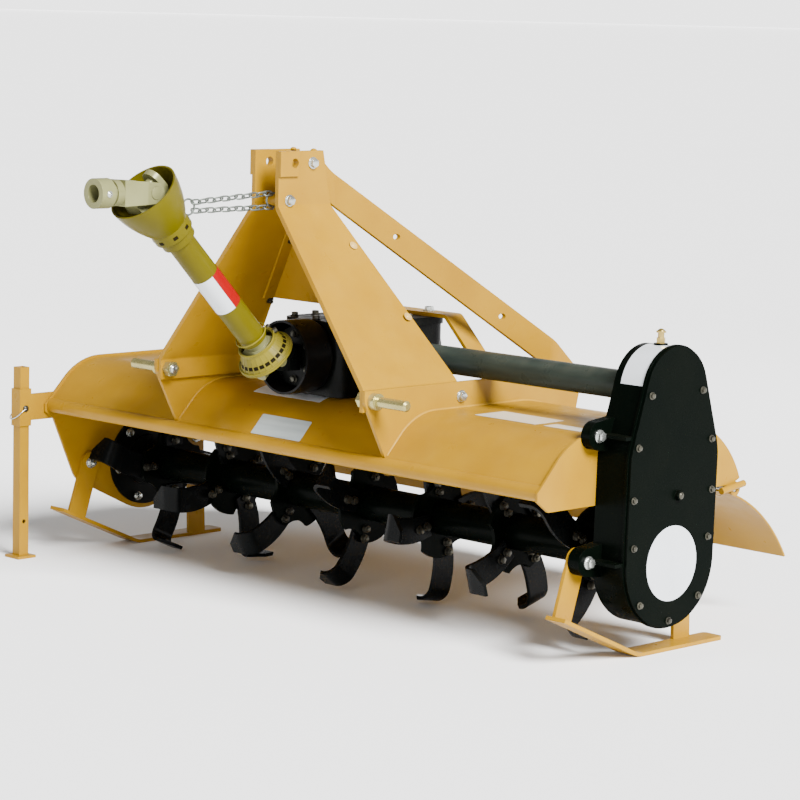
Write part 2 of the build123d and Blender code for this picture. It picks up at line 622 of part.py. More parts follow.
# ---- gearbox -----------------------------------------------------------------------------------------------------
box_middle = AXIS_Y + (BOX_FRONT + BOX_REAR) / 2
with BuildPart() as gearbox_housing:
    with BuildSketch(Plane.XY.offset(DECK_TOP)):
        with Locations((MID_X, box_middle)):
            RectangleRounded(2 * BOX_HALF, BOX_REAR - BOX_FRONT, BOX_CORNER_R)
    extrude(amount=BOX_TOP - BOX_LID_PROUD - DECK_TOP)
    with BuildSketch(Plane.XY.offset(BOX_TOP - BOX_LID_H)):
        with Locations((MID_X, box_middle)):
            RectangleRounded(2 * (BOX_HALF + BOX_LID_PROUD), BOX_REAR - BOX_FRONT, BOX_CORNER_R)
    extrude(amount=BOX_LID_H)
    with BuildSketch(Plane.XY.offset(DECK_TOP)):
        with Locations((MID_X, box_middle)):
            RectangleRounded(BOX_PAD_W, BOX_PAD_L, BOX_PAD)
    extrude(amount=BOX_PAD)
    with BuildSketch(at_y(BOX_FRONT)):
        with Locations((MID_X, INPUT_Z)):
            Circle(NOSE_R)
    extrude(amount=NOSE_L)
    with BuildSketch(at_x(BOX_HALF - TUBE_FLANGE_T)):
        with Locations(yz(CASE_TOP_Y, INPUT_Z)):
            Circle(TUBE_FLANGE_R)
    extrude(amount=2 * TUBE_FLANGE_T)
    with BuildSketch(at_x(-BOX_HALF - TUBE_FLANGE_T)):
        with Locations(yz(CASE_TOP_Y, INPUT_Z)):
            Circle(TUBE_FLANGE_R)
    extrude(amount=2 * TUBE_FLANGE_T)
save(gearbox_housing, "gearbox_housing")

with BuildPart() as input_cup:
    with BuildSketch(at_y(BOX_FRONT)):
        with Locations((MID_X, INPUT_Z)):
            Circle(CUP_R)
    extrude(amount=CUP_L)
    rear_rim = input_cup.faces().sort_by(Axis.Y)[-1]
    fillet(rear_rim.edges(), CUP_ROUND)
    with BuildSketch(at_y(BOX_FRONT - CUP_T)):
        with Locations((MID_X, INPUT_Z)):
            Circle(CUP_R - CUP_T)
    extrude(amount=CUP_L, mode=Mode.SUBTRACT)
    with BuildSketch(at_y(BOX_FRONT)):
        with Locations((MID_X, INPUT_Z)):
            Circle(NOSE_R + SEAT)
    extrude(amount=CUP_L, mode=Mode.SUBTRACT)
save(input_cup, "input_cup")

with BuildPart() as gearbox_rear_cover:
    with BuildSketch(at_y(BOX_REAR)):
        with Locations((MID_X, INPUT_Z)):
            Circle(COVER_R)
    extrude(amount=-COVER_T)
    rear_rim = gearbox_rear_cover.faces().sort_by(Axis.Y)[-1]
    fillet(rear_rim.edges(), COVER_T / 2)
save(gearbox_rear_cover, "gearbox_rear_cover")

strap_mid = STRAP_T / 2
with BuildPart() as gearbox_strap:
    with BuildSketch(at_y(STRAP_REAR)):
        with BuildLine():
            FilletPolyline(
                (MID_X - STRAP_FOOT - STRAP_TOE, DECK_TOP + strap_mid),
                (MID_X - STRAP_FOOT, DECK_TOP + strap_mid),
                (MID_X - STRAP_HALF, BOX_TOP + strap_mid),
                (MID_X + STRAP_HALF, BOX_TOP + strap_mid),
                (MID_X + STRAP_FOOT, DECK_TOP + strap_mid),
                (MID_X + STRAP_FOOT + STRAP_TOE, DECK_TOP + strap_mid),
                radius=STRAP_BEND_R,
            )
        trace(line_width=STRAP_T)
    extrude(amount=STRAP_W)
save(gearbox_strap, "gearbox_strap")

with BuildPart() as side_tube:
    with BuildSketch(at_x(BOX_HALF + TUBE_FLANGE_T)):
        with Locations(yz(CASE_TOP_Y, INPUT_Z)):
            Circle(TUBE_R)
    extrude(amount=CASE_IN - BOX_HALF - TUBE_FLANGE_T)
save(side_tube, "side_tube")

# ---- chain case -----------------------------------------------------------------------------------------------------


def case_outline(inset):
    """Teardrop outline of the chain case moved inwards by inset."""
    with BuildSketch() as outline:
        with BuildLine():
            CenterArc(yz(0, ROTOR_Z), CASE_LOW_R - inset, 0, 360)
            CenterArc(yz(CASE_TOP_Y, CASE_WIDE_Z), CASE_LOW_R - inset, 0, 360)
            CenterArc(yz(CASE_TOP_Y, INPUT_Z), CASE_HIGH_R - inset, 0, 360)
        make_hull()
    return outline.sketch


def lug_outline(lug_y, lug_z):
    """Rounded lug that grows out of the case wall."""
    with BuildSketch() as outline:
        with BuildLine():
            CenterArc(yz(lug_y, lug_z), LUG_R, 0, 360)
            CenterArc(yz(lug_y * LUG_ROOT, lug_z), LUG_R + LUG_RIB, 0, 360)
        make_hull()
    return outline.sketch


LUGS = (
    # fore-and-aft, height above the rotor axis, inner face
    (CASE_LUG[0], CASE_LUG[1], CASE_IN),
    (SKID_BOLT[0], SKID_BOLT[1], DECK_HALF),
    (SKID_REAR_BOLT[0], SKID_REAR_BOLT[1], DECK_HALF),
)
with BuildPart() as case_body:
    with BuildSketch(at_x(CASE_IN)):
        add(case_outline(0))
    extrude(amount=CASE_T)
    with BuildSketch(at_x(CASE_OUT - CASE_RIM)):
        add(case_outline(-CASE_RIM_OUT))
    extrude(amount=CASE_RIM)
    for lug_y, lug_rise, lug_in in LUGS:
        lug_z = ROTOR_Z + lug_rise
        with BuildSketch(at_x(lug_in)):
            add(lug_outline(lug_y, lug_z))
        extrude(amount=CASE_IN + LUG_T - lug_in)
        rib_tip = lug_y * (1 - LUG_RIB_IN / abs(lug_y))
        with Locations((MID_X + CASE_OUT, AXIS_Y + rib_tip * (1 + LUG_ROOT) / 2, lug_z)):
            Box(CASE_T - LUG_T + LUG_RIB, abs(rib_tip) * (1 - LUG_ROOT), LUG_RIB,
                align=(Align.MAX, Align.CENTER, Align.CENTER))
    with BuildSketch(at_x(CASE_IN)):
        with Locations(yz(0, ROTOR_Z)):
            Circle(STUB_R + RUN_CLEAR)
    extrude(amount=CASE_BORE, mode=Mode.SUBTRACT)
    with Locations((MID_X + BREATHER_X, CASE_Y, INPUT_Z + CASE_HIGH_R - BOSS_R / 2)):
        Cylinder(BOSS_R, BOSS_R / 2 + BOSS_RISE, align=(Align.CENTER, Align.CENTER, Align.MIN))
save(case_body, "case_body")

with BuildPart() as case_cover:
    with BuildSketch(at_x(CASE_OUT)):
        add(case_outline(COVER_INSET - CASE_RIM_OUT))
    extrude(amount=CASE_COVER_T)
    with BuildSketch(at_x(COVER_OUT)):
        with Locations(yz(PLUG_Y, ROTOR_Z + PLUG_RISE)):
            RegularPolygon(PLUG_R, 6)
    extrude(amount=PLUG_T)
save(case_cover, "case_cover")

with BuildPart() as case_breather:
    with BuildSketch(Plane.XY.offset(INPUT_Z + CASE_HIGH_R + BOSS_RISE)):
        with Locations((MID_X + BREATHER_X, CASE_Y)):
            RegularPolygon(BREATHER_R, 6)
    extrude(amount=BREATHER_H / 2)
    with Locations((MID_X + BREATHER_X, CASE_Y, INPUT_Z + CASE_HIGH_R + BOSS_RISE)):
        Cylinder(BREATHER_R * 0.7, BREATHER_H, align=(Align.CENTER, Align.CENTER, Align.MIN))
save(case_breather, "case_breather")

# ---- skids ------------------------------------------------------------------------------------------------------------
sole_fall = SKID_TIP[1] / (SKID_BEND_Y - SKID_TIP[0])
sole_mid = SKID_T / 2
UPRIGHTS = (
    # bolt, foot on the sole: fore-and-aft and height
    (SKID_BOLT, (SKID_FOOT_Y, sole_fall * (SKID_BEND_Y - SKID_FOOT_Y) + sole_mid)),
    (SKID_REAR_BOLT, (SKID_REAR_FOOT_Y, sole_mid)),
)
for tag, side in SIDES:
    start, wide = span_x(side, DECK_HALF - SKID_T, DECK_HALF - SKID_T + SKID_W)
    with BuildPart() as skid:
        with BuildSketch(at_x(start)):
            with BuildLine():
                FilletPolyline(yz(SKID_TIP[0], SKID_TIP[1] + sole_mid), yz(SKID_BEND_Y, sole_mid),
                               yz(SKID_TAIL_Y, sole_mid), radius=SKID_BEND_R)
            trace(line_width=SKID_T)
        extrude(amount=wide)
        fillet(skid.edges().filter_by(Axis.Z), SKID_CORNER_R)
        start, wide = span_x(side, DECK_HALF - SKID_T, DECK_HALF)
        for bolt, foot in UPRIGHTS:
            top = (bolt[0], ROTOR_Z + bolt[1])
            reach = hypot(top[0] - foot[0], top[1] - foot[1])
            lean_to = degrees(atan2(top[1] - foot[1], top[0] - foot[0]))
            middle = ((top[0] + foot[0]) / 2, (top[1] + foot[1]) / 2)
            with BuildSketch(at_x(start)):
                with Locations(Location((*yz(*middle), 0), lean_to)):
                    Rectangle(reach, SKID_W)
                with Locations(yz(*top)):
                    Circle(SKID_W / 2)
            extrude(amount=wide)
    save(skid, "skid_" + tag)

# ---- parking stand --------------------------------------------------------------------------------------------------
stand_axis = (MID_X - STAND_X, AXIS_Y + STAND_Y)
with BuildPart() as stand_sleeve:
    with BuildSketch(Plane.XY.offset(SLEEVE_FOOT)):
        with Locations(stand_axis):
            Rectangle(SLEEVE_SIDE, SLEEVE_SIDE)
            Rectangle(LEG_SIDE + 2 * LEG_CLEAR, LEG_SIDE + 2 * LEG_CLEAR, mode=Mode.SUBTRACT)
    extrude(amount=SLEEVE_H)
    bracket_l = BRACKET_REAR - STAND_Y - SLEEVE_SIDE / 2
    with Locations((MID_X - CASE_IN, AXIS_Y + BRACKET_REAR, SLEEVE_FOOT + SLEEVE_H / 2)):
        Box(BRACKET_T, bracket_l, BRACKET_H, align=(Align.MAX, Align.MAX, Align.CENTER))
save(stand_sleeve, "stand_sleeve")

with BuildPart() as stand_leg:
    with BuildSketch(Plane.XY.offset(FOOT_T)):
        with Locations(stand_axis):
            Rectangle(LEG_SIDE, LEG_SIDE)
            Rectangle(LEG_SIDE - 2 * LEG_WALL, LEG_SIDE - 2 * LEG_WALL, mode=Mode.SUBTRACT)
    extrude(amount=LEG_TOP - FOOT_T)
    for hole_z in (SPARE_HOLE_Z, STAND_PIN_Z):
        with Locations((*stand_axis, hole_z)):
            Cylinder(STAND_HOLE_R, SLEEVE_SIDE, rotation=(0, 90, 0), mode=Mode.SUBTRACT)
save(stand_leg, "stand_leg")

with BuildPart() as stand_foot:
    with Locations((*stand_axis, 0)):
        Box(FOOT_SIDE, FOOT_SIDE, FOOT_T, align=(Align.CENTER, Align.CENTER, Align.MIN))
save(stand_foot, "stand_foot")

with BuildPart() as stand_pin:
    with Locations((stand_axis[0] - SLEEVE_SIDE / 2, stand_axis[1], STAND_PIN_Z)):
        Cylinder(STAND_PIN_R, STAND_PIN_L, rotation=(0, -90, 0),
                 align=(Align.CENTER, Align.CENTER, Align.MIN))
save(stand_pin, "stand_pin")

# ---- rotor ------------------------------------------------------------------------------------------------------------
FLANGES = [(index - (FLANGE_COUNT - 1) / 2) * FLANGE_PITCH for index in range(FLANGE_COUNT)]
with BuildPart() as rotor_tube:
    with BuildSketch(at_x(-ROTOR_HALF)):
        with Locations(yz(0, ROTOR_Z)):
            Circle(ROTOR_TUBE_R)
    extrude(amount=2 * ROTOR_HALF)
    with BuildSketch(at_x(-CASE_IN - STUB_LEFT)):
        with Locations(yz(0, ROTOR_Z)):
            Circle(STUB_R)
    extrude(amount=2 * CASE_IN + STUB_LEFT + STUB_RIGHT)
    for index, flange_x in enumerate(FLANGES):
        with BuildSketch(at_x(flange_x - FLANGE_T / 2)):
            with Locations(yz(0, ROTOR_Z)):
                Circle(FLANGE_R)
                with PolarLocations(SCALLOP_OUT, 4, start_angle=45 - index * TINE_STEP):
                    Circle(SCALLOP_R, mode=Mode.SUBTRACT)
        extrude(amount=FLANGE_T)
save(rotor_tube, "rotor_tube")

blade_lean = radians(BLADE_LEAN)
tip_edge = (TIP_FRONT, sqrt(TINE_REACH**2 - TIP_FRONT**2))
tip_heel = (TIP_REAR, sqrt(TINE_REACH**2 - TIP_REAR**2))
with BuildPart() as one_tine:
    with BuildSketch(Plane.YZ):
        with BuildLine():
            edge = ThreePointArc((-SHANK_HALF, SHANK_FOOT), SHANK_FRONT, tip_edge)
            back = ThreePointArc((SHANK_HALF, SHANK_FOOT), SHANK_REAR, tip_heel)
            RadiusArc(edge @ 1, back @ 1, TINE_REACH)
            Line(edge @ 0, back @ 0)
        make_face()
    extrude(amount=TINE_BLADE)
    with BuildSketch(Plane((0, 0, 0), (1, 0, 0), (0, -cos(blade_lean), sin(blade_lean)))):
        with BuildLine():
            FilletPolyline((TINE_T / 2, 0), (TINE_T / 2, BLADE_RISE), (2 * TINE_BLADE, BLADE_RISE),
                           radius=TINE_BEND_R)
        trace(line_width=TINE_T)
    extrude(amount=TINE_REACH, both=True, mode=Mode.INTERSECT)
    with BuildSketch(Plane.XY):
        with BuildLine():
            Polyline((0, -TINE_REACH), (TINE_BLADE, -TINE_REACH), (TINE_BLADE, POINT_W),
                     (TINE_BLADE / 4, TIP_REAR + SHANK_HALF / 2), (0, TIP_REAR + SHANK_HALF / 2), close=True)
        make_face()
    extrude(amount=TINE_REACH, mode=Mode.INTERSECT)

HANDS = (
    # name, side of the flange, first angle
    ("right", 1, 0.0),
    ("left", -1, 90.0),
)
for tag, side, first in HANDS:
    with BuildPart() as tines:
        shape = one_tine.part if side > 0 else one_tine.part.mirror(Plane.YZ)
        for index, flange_x in enumerate(FLANGES):
            for half_turn in (0.0, 180.0):
                turn = first + half_turn + index * TINE_STEP
                place = Location((MID_X + flange_x + side * FLANGE_T / 2, AXIS_Y, ROTOR_Z))
                add(place * Location((0, 0, 0), (turn, 0, 0)) * shape)
    save(tines, "tines_" + tag)

# ---- tailgate --------------------------------------------------------------------------------------------------------
gate_stop = GATE_ARC_START - GATE_ARC_SWEEP
with BuildPart() as gate_panel:
    with BuildSketch(at_x(-GATE_HALF)):
        with BuildLine():
            CenterArc(yz(*GATE_CENTRE), GATE_ARC_R - GATE_T / 2, gate_stop, GATE_ARC_SWEEP)
        trace(line_width=GATE_T)
    extrude(amount=2 * GATE_HALF)
    for knuckle_x in KNUCKLES:
        with BuildSketch(at_x(knuckle_x - KNUCKLE_W / 2)):
            with Locations(yz(HINGE_Y, HINGE_Z)):
                Circle(KNUCKLE_R)
                Circle(HINGE_ROD_R + SEAT, mode=Mode.SUBTRACT)
        extrude(amount=KNUCKLE_W)
save(gate_panel, "gate_panel")

with BuildPart() as gate_rod:
    with BuildSketch(at_x(ROD_IN - CASE_IN)):
        with Locations(yz(HINGE_Y, HINGE_Z)):
            Circle(HINGE_ROD_R)
    extrude(amount=2 * (CASE_IN - ROD_IN))
save(gate_rod, "gate_rod")

# ---- driveline --------------------------------------------------------------------------------------------------------
# Local frame of the shaft: z runs from the inner joint up to the outer one.
SHAFT = Plane(
    origin=(MID_X, AXIS_Y + INNER_JOINT[0], INNER_JOINT[1]),
    x_dir=(1, 0, 0),
    z_dir=(0, -cos(TILT), sin(TILT)),
)
SHAFT_AXIS = Axis(SHAFT.origin, SHAFT.z_dir)
MERIDIAN = Plane(origin=SHAFT.origin, x_dir=SHAFT.x_dir, z_dir=-SHAFT.y_dir)
GUARD_SEAT = GUARD_R + SEAT


def fork(depth, neck, hub_end):
    """Joint fork about the joint's centre: ears across local X, round hub down local Z to hub_end."""
    with BuildPart() as body:
        with BuildSketch(Plane.YZ):
            with BuildLine():
                CenterArc((0, 0), EAR_EYE_R, 0, 360)
                Line((-HUB_R, -neck), (HUB_R, -neck))
            make_hull()
        extrude(amount=FORK_HALF, both=True)
        with BuildSketch(Plane.XZ):
            with BuildLine():
                Polyline((-FORK_HALF, EAR_EYE_R), (FORK_HALF, EAR_EYE_R), (FORK_HALF, -EAR_EYE_R),
                         (HUB_R, -neck), (-HUB_R, -neck), (-FORK_HALF, -EAR_EYE_R), close=True)
            make_face()
            gap = FORK_HALF - FORK_EAR_T
            with Locations((0, EAR_EYE_R)):
                Rectangle(2 * gap, 2 * (EAR_EYE_R + depth - gap), mode=Mode.SUBTRACT)
            with Locations((0, gap - depth)):
                Circle(gap, mode=Mode.SUBTRACT)
        extrude(amount=FORK_HALF, both=True, mode=Mode.INTERSECT)
        Cylinder(CAP_R + RUN_CLEAR, 3 * FORK_HALF, rotation=(0, 90, 0), mode=Mode.SUBTRACT)
        with BuildSketch(Plane.XY.offset(-neck)):
            Circle(HUB_R)
        extrude(amount=neck - hub_end)
    return body.part


def cross():
    """Joint cross: four arms with a bearing cap on each."""
    with BuildPart() as body:
        for turn in ((0, 90, 0), (90, 0, 0)):
            Cylinder(CROSS_R, 2 * FORK_HALF, rotation=turn)
            for end in (-1, 1):
                with Locations(Location((0, 0, 0), turn) * Location((0, 0, end * (FORK_HALF - FORK_EAR_T / 2)))):
                    Cylinder(CAP_R, FORK_EAR_T)
    return body.part


def bell_rib():
    """One rib of the bell's skirt, from its rim to its neck."""
    rim_z = BELL_START + BELL_RIM
    neck_z = rim_z + BELL_SKIRT
    with BuildPart() as rib:
        with BuildSketch(MERIDIAN):
            with BuildLine():
                Polyline((BELL_R - BELL_WALL - RIB_IN, rim_z - RIB_END), (BELL_R - RIB_IN, rim_z - RIB_END),
                         (BELL_NECK_R - RIB_IN / 2, neck_z + RIB_END),
                         (BELL_NECK_R - BELL_WALL + RIB_IN, neck_z + RIB_END), close=True)
            make_face()
        extrude(amount=RIB_T / 2, both=True)
    return rib.part


with BuildPart() as guard_bell:
    with BuildSketch(MERIDIAN):
        rim_z = BELL_START + BELL_RIM
        neck_z = rim_z + BELL_SKIRT
        collar_z = neck_z + BELL_RIM
        end_z = collar_z + BELL_COLLAR_L
        with BuildLine():
            Polyline((BELL_R, BELL_START), (BELL_R, rim_z), (BELL_R - BELL_WALL, rim_z),
                     (BELL_NECK_R, neck_z), (BELL_NECK_R, collar_z), (BELL_COLLAR_R, collar_z),
                     (BELL_COLLAR_R, end_z), (GUARD_SEAT, end_z), (GUARD_SEAT, collar_z),
                     (BELL_NECK_R - BELL_WALL, collar_z), (BELL_NECK_R - BELL_WALL, neck_z), (BELL_R - 2 * BELL_WALL, rim_z),
                     (BELL_R - 2 * BELL_WALL, BELL_START), close=True)
        make_face()
    revolve(axis=SHAFT_AXIS)
    for index in range(RIB_COUNT):
        add(bell_rib().rotate(SHAFT_AXIS, index * 360 / RIB_COUNT))
save(guard_bell, "guard_bell")

with BuildPart() as guard_tube:
    with BuildSketch(SHAFT.offset(GUARD_IN)):
        Circle(GUARD_R)
        Circle(GUARD_R - GUARD_WALL, mode=Mode.SUBTRACT)
    extrude(amount=JOINT_SPAN - 2 * GUARD_IN)
save(guard_tube, "guard_tube")

with BuildPart() as guard_cone:
    with BuildSketch(MERIDIAN):
        base_z = JOINT_SPAN - CONE_LEN
        neck_z = base_z - CONE_NECK_L
        foot_z = neck_z - CONE_COLLAR_L
        belly_z = JOINT_SPAN - CONE_BELLY
        with BuildLine():
            outer = ThreePointArc((CONE_NECK_R, base_z), (CONE_BELLY_R, belly_z), (CONE_R, JOINT_SPAN))
            Polyline(outer @ 0, (CONE_NECK_R, neck_z), (CONE_COLLAR_R, neck_z), (CONE_COLLAR_R, foot_z),
                     (GUARD_SEAT, foot_z), (GUARD_SEAT, base_z), (CONE_NECK_R - CONE_WALL, base_z + CONE_WALL))
            inner = ThreePointArc((CONE_NECK_R - CONE_WALL, base_z + CONE_WALL),
                                  (CONE_BELLY_R - CONE_WALL, belly_z + CONE_WALL / 2),
                                  (CONE_R - CONE_WALL, JOINT_SPAN))
            Line(inner @ 1, outer @ 1)
        make_face()
    revolve(axis=SHAFT_AXIS)
save(guard_cone, "guard_cone")

SHAFT_FORKS = (
    # distance along the shaft, turn that sets the fork's hub towards the shaft's middle
    (0.0, (180, 0, 90)),
    (JOINT_SPAN, (0, 0, 90)),
)
with BuildPart() as shaft_core:
    with BuildSketch(SHAFT.offset(CORE_FORK_NECK)):
        Circle(CORE_R)
    extrude(amount=JOINT_SPAN - 2 * CORE_FORK_NECK)
    for along, turn in SHAFT_FORKS:
        add(SHAFT.offset(along).location * Location((0, 0, 0), turn) * fork(CORE_FORK_DEPTH, CORE_FORK_NECK, CORE_FORK_NECK + 1))
save(shaft_core, "shaft_core")

for tag, along in (("inner", 0.0), ("outer", JOINT_SPAN)):
    with BuildPart() as joint_cross:
        add(SHAFT.offset(along).location * cross())
    save(joint_cross, tag + "_cross")

INNER_FORK = Plane(SHAFT.origin, x_dir=(1, 0, 0), z_dir=(0, -1, 0))
with BuildPart() as inner_yoke:
    add(INNER_FORK.location * fork(FORK_DEPTH, FORK_NECK, INNER_REACH - NOSE_L))
save(inner_yoke, "inner_yoke")

OUTER_FORK = Plane((MID_X, AXIS_Y + OUTER_JOINT[0], OUTER_JOINT[1]), x_dir=(1, 0, 0), z_dir=(0, 1, 0))
with BuildPart() as tractor_yoke:
    add(OUTER_FORK.location * fork(FORK_DEPTH, FORK_NECK, YOKE_REACH))
    with BuildSketch(OUTER_FORK.offset(-YOKE_REACH)):
        Circle(HUB_COLLAR_R)
    extrude(amount=HUB_COLLAR_L)
    groove = HUB_COLLAR_L + HUB_GROOVE_L / 2 - YOKE_REACH
    with BuildSketch(OUTER_FORK.offset(groove - HUB_GROOVE_L / 2)):
        Circle(HUB_COLLAR_R)
        Circle(HUB_R - HUB_GROOVE, mode=Mode.SUBTRACT)
    extrude(amount=HUB_GROOVE_L, mode=Mode.SUBTRACT)
    with BuildSketch(OUTER_FORK.offset(-YOKE_REACH)):
        Circle(HUB_BORE)
    extrude(amount=YOKE_REACH - FORK_DEPTH, mode=Mode.SUBTRACT)
    with Locations(OUTER_FORK * Location((0, 0, HUB_COLLAR_L / 2 - YOKE_REACH))):
        Cylinder(LOCK_HOLE_R, 2 * HUB_COLLAR_R, rotation=(0, 90, 0),
                 align=(Align.CENTER, Align.CENTER, Align.MIN), mode=Mode.SUBTRACT)
save(tractor_yoke, "tractor_yoke")

# ---- holding chain ----------------------------------------------------------------------------------------------------
# Both strands lie in the mast's centre plane: from a ring on the cone's neck round the spacer sleeve.
hook = SHAFT.from_local_coords(
    (0, CONE_NECK_R + SEAT + RING_R + WIRE_T, JOINT_SPAN - CHAIN_HOOK)
)
sleeve_mid = Vector(MID_X, AXIS_Y + SLEEVE_Y, SLEEVE_Z)
chain_way = (hook - sleeve_mid).normalized()
chain_side = Vector(1, 0, 0).cross(chain_way)


def link_outline(length, width):
    """Long outline with cut corners."""
    with BuildSketch() as outline:
        Rectangle(length, width)
        chamfer(outline.vertices(), LINK_CORNER * width)
    return outline.sketch


def chain_link(start, end, lean):
    """Flat link between two contact points, leaning to one side of the chain's plane."""
    along = (end - start).normalized()
    normal = Vector(1, 0, 0) * cos(lean) + Vector(1, 0, 0).cross(along) * sin(lean)
    outer = (end - start).length + LINK_PLAY + 2 * WIRE_T
    with BuildPart() as body:
        with BuildSketch(Plane(origin=(start + end) / 2, x_dir=along, z_dir=normal)):
            add(link_outline(outer, LINK_W))
            add(link_outline(outer - 2 * WIRE_T, LINK_W - 2 * WIRE_T), mode=Mode.SUBTRACT)
        extrude(amount=WIRE_T / 2, both=True)
    return body.part


bow_r = SLEEVE_R + SEAT + WIRE_T / 2
with BuildPart() as holding_chain:
    with BuildSketch(Plane(origin=sleeve_mid, x_dir=chain_way, z_dir=(1, 0, 0))):
        with BuildLine():
            CenterArc((0, 0), bow_r, 90, 180)
            Line((0, bow_r), (BOW_REACH, bow_r))
            Line((0, -bow_r), (BOW_REACH, -bow_r))
        trace(line_width=WIRE_T)
    extrude(amount=WIRE_T / 2, both=True)
    with BuildSketch(Plane(origin=hook, x_dir=chain_way, z_dir=(1, 0, 0))):
        Circle(RING_R + WIRE_T)
        Circle(RING_R, mode=Mode.SUBTRACT)
    extrude(amount=WIRE_T / 2, both=True)
    spread = radians(RING_SPREAD)
    for side in (-1, 1):
        start = sleeve_mid + chain_way * BOW_REACH + chain_side * side * bow_r
        run = hook - chain_way * RING_R * cos(spread) + chain_side * side * RING_R * sin(spread) - start
        count = round(run.length / LINK_PITCH)
        for index in range(count):
            lean = radians(LINK_LEAN) * (1 - 2 * (index % 2))
            add(chain_link(start + run * (index / count), start + run * ((index + 1) / count), lean))
save(holding_chain, "holding_chain")
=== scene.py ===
"""Dresses the frame of a tractor-mounted rotary tiller: finishes, fasteners, trim and the studio."""
import logging
from dataclasses import dataclass, field
from enum import Enum
from math import cos, pi, radians, sin
from typing import Any, Callable, Sequence

import bmesh
import bpy
from mathutils import Matrix, Vector


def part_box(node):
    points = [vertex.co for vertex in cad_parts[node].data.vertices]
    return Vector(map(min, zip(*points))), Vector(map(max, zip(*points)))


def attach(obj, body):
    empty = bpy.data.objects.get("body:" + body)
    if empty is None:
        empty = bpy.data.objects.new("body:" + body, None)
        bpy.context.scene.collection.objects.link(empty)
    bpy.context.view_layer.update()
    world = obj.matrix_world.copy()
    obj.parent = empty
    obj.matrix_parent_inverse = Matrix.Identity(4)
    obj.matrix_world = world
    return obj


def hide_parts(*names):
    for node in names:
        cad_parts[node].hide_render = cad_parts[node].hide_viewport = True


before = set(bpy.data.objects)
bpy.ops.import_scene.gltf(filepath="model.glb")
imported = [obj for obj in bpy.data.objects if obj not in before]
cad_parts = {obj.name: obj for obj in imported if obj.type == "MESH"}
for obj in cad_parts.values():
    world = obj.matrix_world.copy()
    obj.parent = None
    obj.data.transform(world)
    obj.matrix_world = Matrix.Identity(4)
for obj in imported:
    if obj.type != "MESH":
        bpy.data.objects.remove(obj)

LOG = logging.getLogger("tiller")
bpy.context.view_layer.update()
MM = 0.001
Rgb = tuple[int, int, int]
Pair = tuple[float, float]
Triple = tuple[float, float, float]
Quad = tuple[float, float, float, float]
Place = tuple[Vector, Vector]
Piece = bpy.types.Object


# ---- shader maths ------------------------------------------------------------------------


class Term:
    """One output socket of a node tree, with the arithmetic that the finishes use."""

    def __init__(self, graph: "Graph", socket: bpy.types.NodeSocket) -> None:
        """Keeps the socket and the graph that owns it."""
        self.graph = graph
        self.socket = socket

    def __add__(self, other: Any) -> "Term":
        """Sum of two terms."""
        return self.graph.maths("ADD", self, other)

    def __sub__(self, other: Any) -> "Term":
        """Difference of two terms."""
        return self.graph.maths("SUBTRACT", self, other)

    def __rsub__(self, other: Any) -> "Term":
        """Difference with the number first."""
        return self.graph.maths("SUBTRACT", other, self)

    def __mul__(self, other: Any) -> "Term":
        """Product of two terms."""
        return self.graph.maths("MULTIPLY", self, other)

    __radd__ = __add__
    __rmul__ = __mul__

    def held(self, low: float, high: float) -> "Term":
        """The term stretched from low..high to 0..1 and held there."""
        return self.graph.term(
            "ShaderNodeMapRange", {"clamp": True}, {0: self, 1: low, 2: high, 3: 0.0, 4: 1.0}
        )


